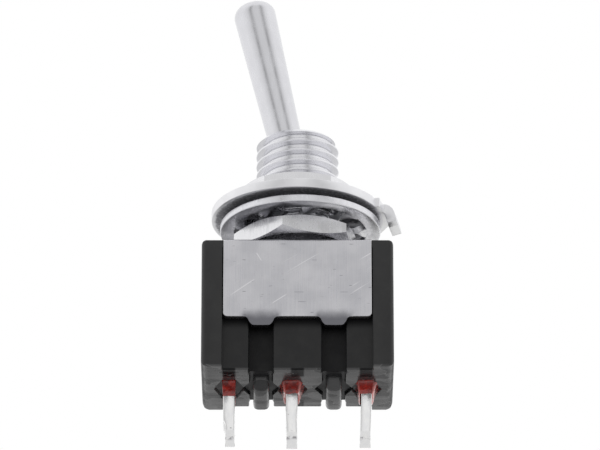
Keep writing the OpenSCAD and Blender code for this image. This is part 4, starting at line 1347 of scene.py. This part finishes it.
def sheet_metal(name, points, faces, thickness, outside, rounding):
    """A sheet drawn by one of its faces: thickened to the other side, edges broken."""
    obj = tidy(drawn(name, points, faces), outward=False, merge=2e-4)
    wall = obj.modifiers.new("sheet", "SOLIDIFY")
    wall.thickness, wall.offset, wall.use_even_offset = thickness, outside, True
    return round_edges(obj, rounding, 2, 50)


def roughen(obj, amount, scale, seed, keep=None):
    """Moves each point a little by noise, as in a piece that is stamped, dipped or cast."""
    for vertex in obj.data.vertices:
        if keep is None or not keep(vertex.co):
            place = vertex.co * scale + Vector((seed, 0, 0))
            vertex.co += noise.noise_vector(place) * amount
    return obj


print("sheet kit: sheet_metal, roughen")

# %% [markdown]
# ## Locking ring
# The ring is stamped from sheet: a key at the back fits the bushing's keyway, and a tongue at
# the side is bent down to enter a second hole in the panel. A turned disc with a bent strip
# joined on would show a seam at the fold. So the blank is drawn as one fan of points between
# the bore and the rim, whose outline runs out to the fold, and the tab goes on from there.

# %% Ring sizes
RING_HIGH = box_mm("locking_ring")[1]
RING_R, RING_BORE, RING_T = RING_HIGH.y - 0.005, 3.1, 0.65
KEY_HALF, KEY_REACH, KEY_DRAFT = 0.25, 2.62, 1.6
TAB_AZIMUTH, TAB_SKEW, TAB_HALF, CREASE = -4, -6.5, 1.2, 6.17
TAB_BEND, TAB_LEN, FOLD_INSIDE, FOLD_STEPS = 77, 0.86, 0.15, 4
FLARE_FRONT, FLARE_BACK = (5.86, -2.3), (5.69, 2.41)  # where the tongue leaves the rim
RING_Z = RING_HIGH.z - RING_T
print(f"ring: {2 * RING_R:.2f} mm across, underside at {RING_Z:.2f} mm")

# %% Directions round the ring
NEAR_TAB = 24                           # degrees either side where the rim is not a circle
BESIDE_TAB, FLANK_AT = (14.0, 17.5, 20.0), {-22.2, 23.8}

skew = math.radians(TAB_SKEW)
lanes = [TAB_HALF * (k / 4 - 1) for k in range(9)]
crease = [(CREASE - y * math.sin(skew), y * math.cos(skew)) for y in lanes]
tongue = [FLARE_FRONT, crease[0], crease[-1], FLARE_BACK]
key_at = 90 - TAB_AZIMUTH
key_angle = math.degrees(math.atan2(KEY_HALF, RING_BORE))
around = {float(a) for a in range(-180, 180, 3) if abs(a) > NEAR_TAB}
around |= {round(math.degrees(math.atan2(y, x)), 3)
           for x, y in crease + [FLARE_FRONT, FLARE_BACK]}
around |= {key_at + s * (key_angle + d) for s in (-1, 1) for d in (0, KEY_DRAFT)}
around |= {s * a for s in (-1.0, 1.0) for a in BESIDE_TAB} | FLANK_AT
around = sorted(around)
print("ring:", len(around), "directions")


# %% Outline of the ring
def rim_radius(angle):
    """The ring's outline: a circle, or further out the tongue's flanks and crease."""
    a = math.radians(angle)
    ray, best = (math.cos(a), math.sin(a)), RING_R
    for (px, py), (qx, qy) in zip(tongue, tongue[1:]):
        ex, ey = qx - px, qy - py
        cross = ray[0] * ey - ray[1] * ex
        if abs(cross) > 1e-9:
            reach = (px * ey - py * ex) / cross
            share = (px * ray[1] - py * ray[0]) / cross
            if reach > 0 and -1e-4 <= share <= 1 + 1e-4:
                on_crease = (px, py) == crease[0]
                best = reach if on_crease else max(best, reach)
    return best


print(f"rim at {rim_radius(90.0):.2f} mm, fold at {rim_radius(0.0):.2f} mm")

# %% Ring blank
STEPS = 6                               # faces between the bore and the rim
KEY_EDGE = key_angle + KEY_DRAFT / 2

points, faces = [], []
for angle in around:
    a = math.radians(angle)
    off = abs(angle - key_at)
    inner = KEY_REACH / math.cos(math.radians(off)) if off < KEY_EDGE else RING_BORE
    outer = rim_radius(angle)
    for k in range(STEPS + 1):
        r = inner + (outer - inner) * k / STEPS
        points.append((r * math.cos(a), r * math.sin(a), 0))
for i in range(len(around)):
    j = (i + 1) % len(around)
    for k in range(STEPS):
        faces.append((i * (STEPS + 1) + k, i * (STEPS + 1) + k + 1,
                      j * (STEPS + 1) + k + 1, j * (STEPS + 1) + k))
print("blank:", len(faces), "faces")

# %% [markdown]
# ## The ring's tab
# The tab follows the fold row by row, first round a small radius, then straight down. Its
# lower corners are nipped in, its front edge a little more, as the shears leave it. Sheet,
# edges and a slight waviness near the fold are the same helpers as before.

# %% Ring
TAB_ROWS, CORNER_NIP, FRONT_NIP = 4, 0.34, 0.1
WAVE, WAVE_SCALE, WAVE_SEED, WAVE_FROM = 0.025, 2.6, 3, CREASE - 0.35

base, rows = len(points), []
for k in range(FOLD_STEPS + 1):          # round the fold
    a = math.radians(TAB_BEND * k / FOLD_STEPS)
    rows.append((FOLD_INSIDE * math.sin(a), FOLD_INSIDE * (math.cos(a) - 1)))
for k in range(1, TAB_ROWS + 1):         # and down the tab
    a, reach = math.radians(TAB_BEND), TAB_LEN * k / TAB_ROWS
    rows.append((rows[FOLD_STEPS][0] + reach * math.cos(a),
                 rows[FOLD_STEPS][1] - reach * math.sin(a)))
for k, (out, drop) in enumerate(rows):
    nip = 1 - CORNER_NIP * max(0.0, (k - FOLD_STEPS - 2) / 2) ** 2
    for (x, y), lane in zip(crease, lanes):
        share = nip * (1 - FRONT_NIP * min(1, k / FOLD_STEPS) * (lane < 0))
        x, y = CREASE + (x - CREASE) * share, y * share
        points.append((x + out * math.cos(skew), y + out * math.sin(skew), drop))
for k in range(len(rows) - 1):
    for i in range(len(lanes) - 1):
        a = base + k * len(lanes) + i
        faces.append((a, a + len(lanes), a + len(lanes) + 1, a + 1))
ring = sheet_metal("keyed_locking_ring", points, faces, RING_T, 1, EDGE_BREAK)
settle(ring)
roughen(ring, WAVE, WAVE_SCALE, WAVE_SEED, keep=lambda spot: spot.x < WAVE_FROM)
ring.data.transform(Matrix.Translation((0, 0, RING_Z))
                    @ Matrix.Rotation(math.radians(TAB_AZIMUTH), 4, "Z"))
publish(ring, locking_plate, "base", "zinc_plate", "locking_ring", crisp=35)

# %% [markdown]
# ## Lever
# The bat is turned in one piece with its ball and its hollow skirt. It could be a cone on a
# sphere on a tube, but their seams would show in bright metal. So it is one turned outline,
# with many short steps in the rounded tip, and one drilled hole for the pin. It is drawn
# upright about its pivot and then set over to the left, where it rests.

# %% Lever
LEVER_TILT = -12.5
BAT_D, BAT_ROOT_R, BAT_FROM = 2.95, 1.12, 1.5
SHOULDER, DOME, BALL_R, SKIRT_R, SKIRT_END = 0.92, 0.16, 2.04, 1.1, -4.2
SOCKET_R, SOCKET_TOP, PIN_R = 0.72, -0.75, 0.41
LEVER_LEN, SKIRT_CHAMFER = 14.97, 0.08

edge_z = LEVER_LEN - DOME - SHOULDER
flat_r = BAT_D / 2 - SHOULDER
outline = [(0, LEVER_LEN)]
outline += [(flat_r * k / 4, LEVER_LEN - DOME * (k / 4) ** 2) for k in range(1, 4)]
outline += [(flat_r + SHOULDER * math.sin(math.radians(a)),
             edge_z + SHOULDER * math.cos(math.radians(a))) for a in range(0, 91, 9)]
neck = math.sqrt(BALL_R ** 2 - BAT_ROOT_R ** 2)
outline += [(BAT_ROOT_R + (BAT_D / 2 - BAT_ROOT_R) * k / 8,
             max(BAT_FROM, neck) + (edge_z - max(BAT_FROM, neck)) * k / 8)
            for k in range(7, -1, -1)]
skirt_at = -math.sqrt(BALL_R ** 2 - SKIRT_R ** 2)
top_a, low_a = math.asin(neck / BALL_R), math.asin(skirt_at / BALL_R)
outline += [(BALL_R * math.cos(a), BALL_R * math.sin(a))
            for a in (top_a + (low_a - top_a) * k / 22 for k in range(1, 22))]
outline += [(SKIRT_R, skirt_at), (SKIRT_R, SKIRT_END + SKIRT_CHAMFER),
            (SKIRT_R - SKIRT_CHAMFER, SKIRT_END),
            (SOCKET_R, SKIRT_END), (SOCKET_R, SOCKET_TOP), (0, SOCKET_TOP)]
lever = lathe("bat_lever", outline, 128)
pin_hole = lathe("pin_hole", [(0, -4), (PIN_R, -4), (PIN_R, 4), (0, 4)], 48)
pin_hole.data.transform(Matrix.Rotation(math.radians(90), 4, "X"))
join_solid(lever, pin_hole, "DIFFERENCE")
lever.data.transform(Matrix.Translation((0, 0, PIVOT_Z))
                     @ Matrix.Rotation(math.radians(LEVER_TILT), 4, "Y"))
publish(lever, chromed_brass, "lever", "chromed_brass", "lever", crisp=40)

# %% [markdown]
# ## Solder lugs
# Each lug is a strip of brass, sheared to a round end, pierced with an eye and dipped in tin.
# A plain block would be too true. A shell of two skins lets the thickness vary a little down
# the length: the shears leave the end lugs a bit thin at the tip, and the dip leaves the
# middle one wavy.

# %% A lug
EYE_R, EYE_UP, LUG_EDGE = 0.6, 1.35, 0.06
LUG_STEP, LUG_LANES = 0.32, 8


def lug(name, x, end, side_at, wobble, seed):
    """A lug down to `end`. `side_at` gives the places of its two faces at a height, and
    `wobble` is how far the dip has left the surface uneven."""
    tip = end + LUG_HALF_W
    rows = [(z, LUG_HALF_W) for z in (CAVITY_FLOOR + 0.1 - LUG_STEP * k for k in range(40))
            if z > tip + 0.1]
    rows += [(tip - math.sin(math.radians(a)), math.cos(math.radians(a)))
             for a in range(0, 81, 8)] + [(end, 0.1)]
    low, high, faces = [], [], []
    for z, half in rows:
        left, right = side_at(z)
        for k in range(LUG_LANES + 1):
            y = half * (2 * k / LUG_LANES - 1)
            low.append((x + left, y, z))
            high.append((x + right, y, z))
    wide = LUG_LANES + 1
    for row in range(len(rows) - 1):
        for k in range(LUG_LANES):
            a = row * wide + k
            faces.append((a, a + 1, a + wide + 1, a + wide))
    made = shell(name, high, low, faces)
    eye = lathe("eye", [(0, -2), (EYE_R, -2), (EYE_R, 2), (0, 2)], 40)
    eye.data.transform(Matrix.Translation((x, 0, end + EYE_UP))
                       @ Matrix.Rotation(math.radians(90), 4, "Y"))
    join_solid(made, eye, "DIFFERENCE")
    round_edges(made, LUG_EDGE, 2, 50)
    settle(made)
    return roughen(made, wobble, 1.4, seed, keep=lambda p: p.z > CASE_BOTTOM + 0.5)


def fade(z, start, end):
    """0 above `start`, 1 below `end`, smooth between."""
    t = min(1.0, max(0.0, (start - z) / (start - end)))
    return t * t * (3 - 2 * t)


print(f"a lug {2 * LUG_HALF_W:.1f} mm wide and {2 * LUG_HALF_T:.1f} mm thick")

# %% Three lugs
LEFT_END, MIDDLE_END, RIGHT_END = -13.78, -13.93, -13.86

left_lug = lug("lug_left", LUG_X[0], LEFT_END, lambda z: (
    -LUG_HALF_T + 0.15 * fade(z, -12.2, -12.5), LUG_HALF_T - 0.01), 0.004, 1)
middle_lug = lug("lug_middle", LUG_X[1], MIDDLE_END, lambda z: (
    -LUG_HALF_T + 0.05 * fade(z, -11.8, -13.8),
    LUG_HALF_T + 0.03 * math.sin(2.2 * z) - 0.05 * fade(z, -12.6, -13.9)), 0.02, 2)
right_lug = lug("lug_right", LUG_X[2], RIGHT_END, lambda z: (
    -LUG_HALF_T + 0.07 - 0.1 * fade(z, -10.2, -13.8),
    LUG_HALF_T - 0.1 * fade(z, -10.2, -13.8)), 0.004, 3)
print("lugs end at", LEFT_END, MIDDLE_END, RIGHT_END, "mm")

# %% [markdown]
# ## Feet of the lugs
# Inside the case each end lug turns inwards and carries a contact, and the middle one carries
# two ears with a seat for the rocking contact. They are small blocks joined to the strip, which
# is enough for something so deep inside.

# %% Feet of the lugs
FOOT_T, FOOT_INNER = 0.8, 3.6
EAR_X, EAR_IN, EAR_OUT, ROCKER_Z, TRUNNION_R = 0.8, 1.15, 1.75, -5.5, 0.35
FOOT_TOP = CAVITY_FLOOR + FOOT_T

for made, side in ((left_lug, -1), (right_lug, 1)):
    near, far = sorted((side * FOOT_INNER, side * (LUG_X[2] + LUG_HALF_T - 0.01)))
    foot = block("foot", (near, -LUG_HALF_W, CAVITY_FLOOR), (far, LUG_HALF_W, FOOT_TOP))
    join_solid(made, round_edges(foot, LUG_EDGE, 2), "UNION")
foot = block("foot", (-EAR_X, -EAR_OUT, CAVITY_FLOOR), (EAR_X, EAR_OUT, ROCKER_Z + 0.45))
join_solid(foot, block("between", (-2, -EAR_IN, FOOT_TOP), (2, EAR_IN, 0)), "DIFFERENCE")
seat = lathe("seat", [(0, -3), (TRUNNION_R, -3), (TRUNNION_R, 3), (0, 3)], 40)
seat.data.transform(Matrix.Translation((0, 0, ROCKER_Z)) @ Matrix.Rotation(math.pi / 2, 4, "X"))
join_solid(foot, seat, "DIFFERENCE")
join_solid(foot, block("open", (-TRUNNION_R, -3, ROCKER_Z), (TRUNNION_R, 3, 0)), "DIFFERENCE")
join_solid(middle_lug, round_edges(foot, EDGE_BREAK, 2), "UNION")
for made, solid_name in ((left_lug, "terminal_left"), (middle_lug, "terminal_centre"),
                         (right_lug, "terminal_right")):
    publish(made, lug_plate, "base", "lug_plate", solid_name, crisp=35)

# %% [markdown]
# ## Epoxy seals
# A drop of epoxy lies in each well and creeps down its lug, most on the two narrow edges. A
# blob of metaballs would not stay thin on the metal. So each seal is a stack of outlines that
# hug the lug, wide on the floor of the well and thin at the end. An attribute marks the thin
# skirts, which the finish turns pink.

# %% Outline round a lug
WELL_FLOOR = CASE_BOTTOM + WELL_DEEP
HUG_SINK = 0.001                         # the epoxy reaches this far into the metal


def hug():
    """Points round the lug's section, each with the way out from the metal."""
    ring = []
    for sx, sy, start in ((1, -1, -90), (1, 1, 0), (-1, 1, 90), (-1, -1, 180)):
        for k in range(5):
            a = math.radians(start + 90 * k / 4)
            ring.append((sx * LUG_HALF_T, sy * LUG_HALF_W, math.cos(a), math.sin(a)))
        nx, ny = -sy * (sx == -sy), sy * (sx == sy)
        steps = 9 if nx else 4
        for k in range(1, steps):
            t = 1 - 2 * k / steps
            ring.append((nx * LUG_HALF_T if nx else sx * LUG_HALF_T * t,
                         sy * LUG_HALF_W * t if nx else ny * LUG_HALF_W, nx, ny))
    return ring


print("outline:", len(hug()), "points round a lug")

# %% Seals
# how far down, how much of its spread on the lug's faces, how far off its edges
STACK = [(-0.2, 1.0, 0.16), (0.0, 1.0, 0.16), (0.08, 0.85, 0.12), (0.2, 0.7, 0.09),
         (0.4, 0.55, 0.07), (0.6, 0.45, 0.06), (0.8, 0.33, 0.05), (0.93, 0.2, 0.035),
         (1.0, 0.06, 0.01)]


def seal(name, x, left, right, edge_low, side_low, seed):
    """Epoxy round the lug at x. `left` and `right` are how far it stands off the two faces,
    `edge_low` and `side_low` how low it ends on the lug's edges and on its faces."""
    ring, points, skirts = hug(), [], []

    def height(px, py, level):
        low = side_low + (edge_low - side_low) * abs(py) ** 4
        low += 0.1 * noise.noise(Vector((px * 2, py * 2, seed)))
        return WELL_FLOOR + (low - WELL_FLOOR) * level if level > 0 else WELL_FLOOR - level

    for level, side_share, edge_off in STACK:
        for px, py, nx, ny in ring:
            off = (right if nx > 0 else left) * side_share * nx * nx + edge_off * ny * ny
            points.append((x + px + nx * off, py + ny * off, height(px, py, level)))
            skirts.append(nx * nx * min(1.0, max(0.0, level * 1.6 - 0.1)))
    for level in (1.0, -0.2):                # the inner wall, against the metal
        points += [(x + px - HUG_SINK * nx, py - HUG_SINK * ny, height(px, py, level))
                   for px, py, nx, ny in ring]
        skirts += [0.0] * len(ring)
    n, levels = len(ring), len(STACK) + 2
    faces = [(a * n + i, a * n + (i + 1) % n, (a + 1) % levels * n + (i + 1) % n,
              (a + 1) % levels * n + i) for a in range(levels) for i in range(n)]
    made = drawn(name, points, faces)
    layer = made.data.attributes.new("thin", "FLOAT", "POINT")
    layer.data.foreach_set("value", skirts)
    return tidy(made, merge=1e-5)


for made, solid_name in (
        (seal("seal_drop_left", LUG_X[0], 0.1, 0.08, -10.48, -9.9, 1.0), "seal_left"),
        (seal("seal_drop_middle", LUG_X[1], 0.42, 0.5, -10.3, -9.95, 2.0), "seal_centre"),
        (seal("seal_drop_right", LUG_X[2], 0.32, 0.5, -10.3, -10.45, 3.0), "seal_right")):
    publish(made, epoxy, "base", "epoxy", solid_name, crisp=60)

# %% [markdown]
# ## Inner pieces
# Pin, plunger, spring and contacts are deep inside the case. They could be drawn again too, but
# nobody would see it, so they keep their engineering shape and get a finish of their own. The
# solids that a drawing stands for are given that drawing's finish.

# %% Inner pieces
INSIDE = {"pivot_pin": drawn_steel, "plunger": nylon, "plunger_spring": drawn_steel,
          "rocker_contact": contact_plate, "contact_left": contact_silver,
          "contact_right": contact_silver}
REST = {"case": moulded, "frame": plated_sheet, "bushing": plated_brass,
        "lever": chromed_brass, "lower_nut": nut_plate, "upper_nut": nut_plate,
        "lock_washer": washer_plate, "locking_ring": locking_plate,
        "terminal_left": lug_plate, "terminal_centre": lug_plate, "terminal_right": lug_plate,
        "seal_left": epoxy, "seal_centre": epoxy, "seal_right": epoxy}
for name, material in {**INSIDE, **REST}.items():
    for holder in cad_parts[name].material_slots:
        holder.material = material
print("inner pieces:", ", ".join(INSIDE))
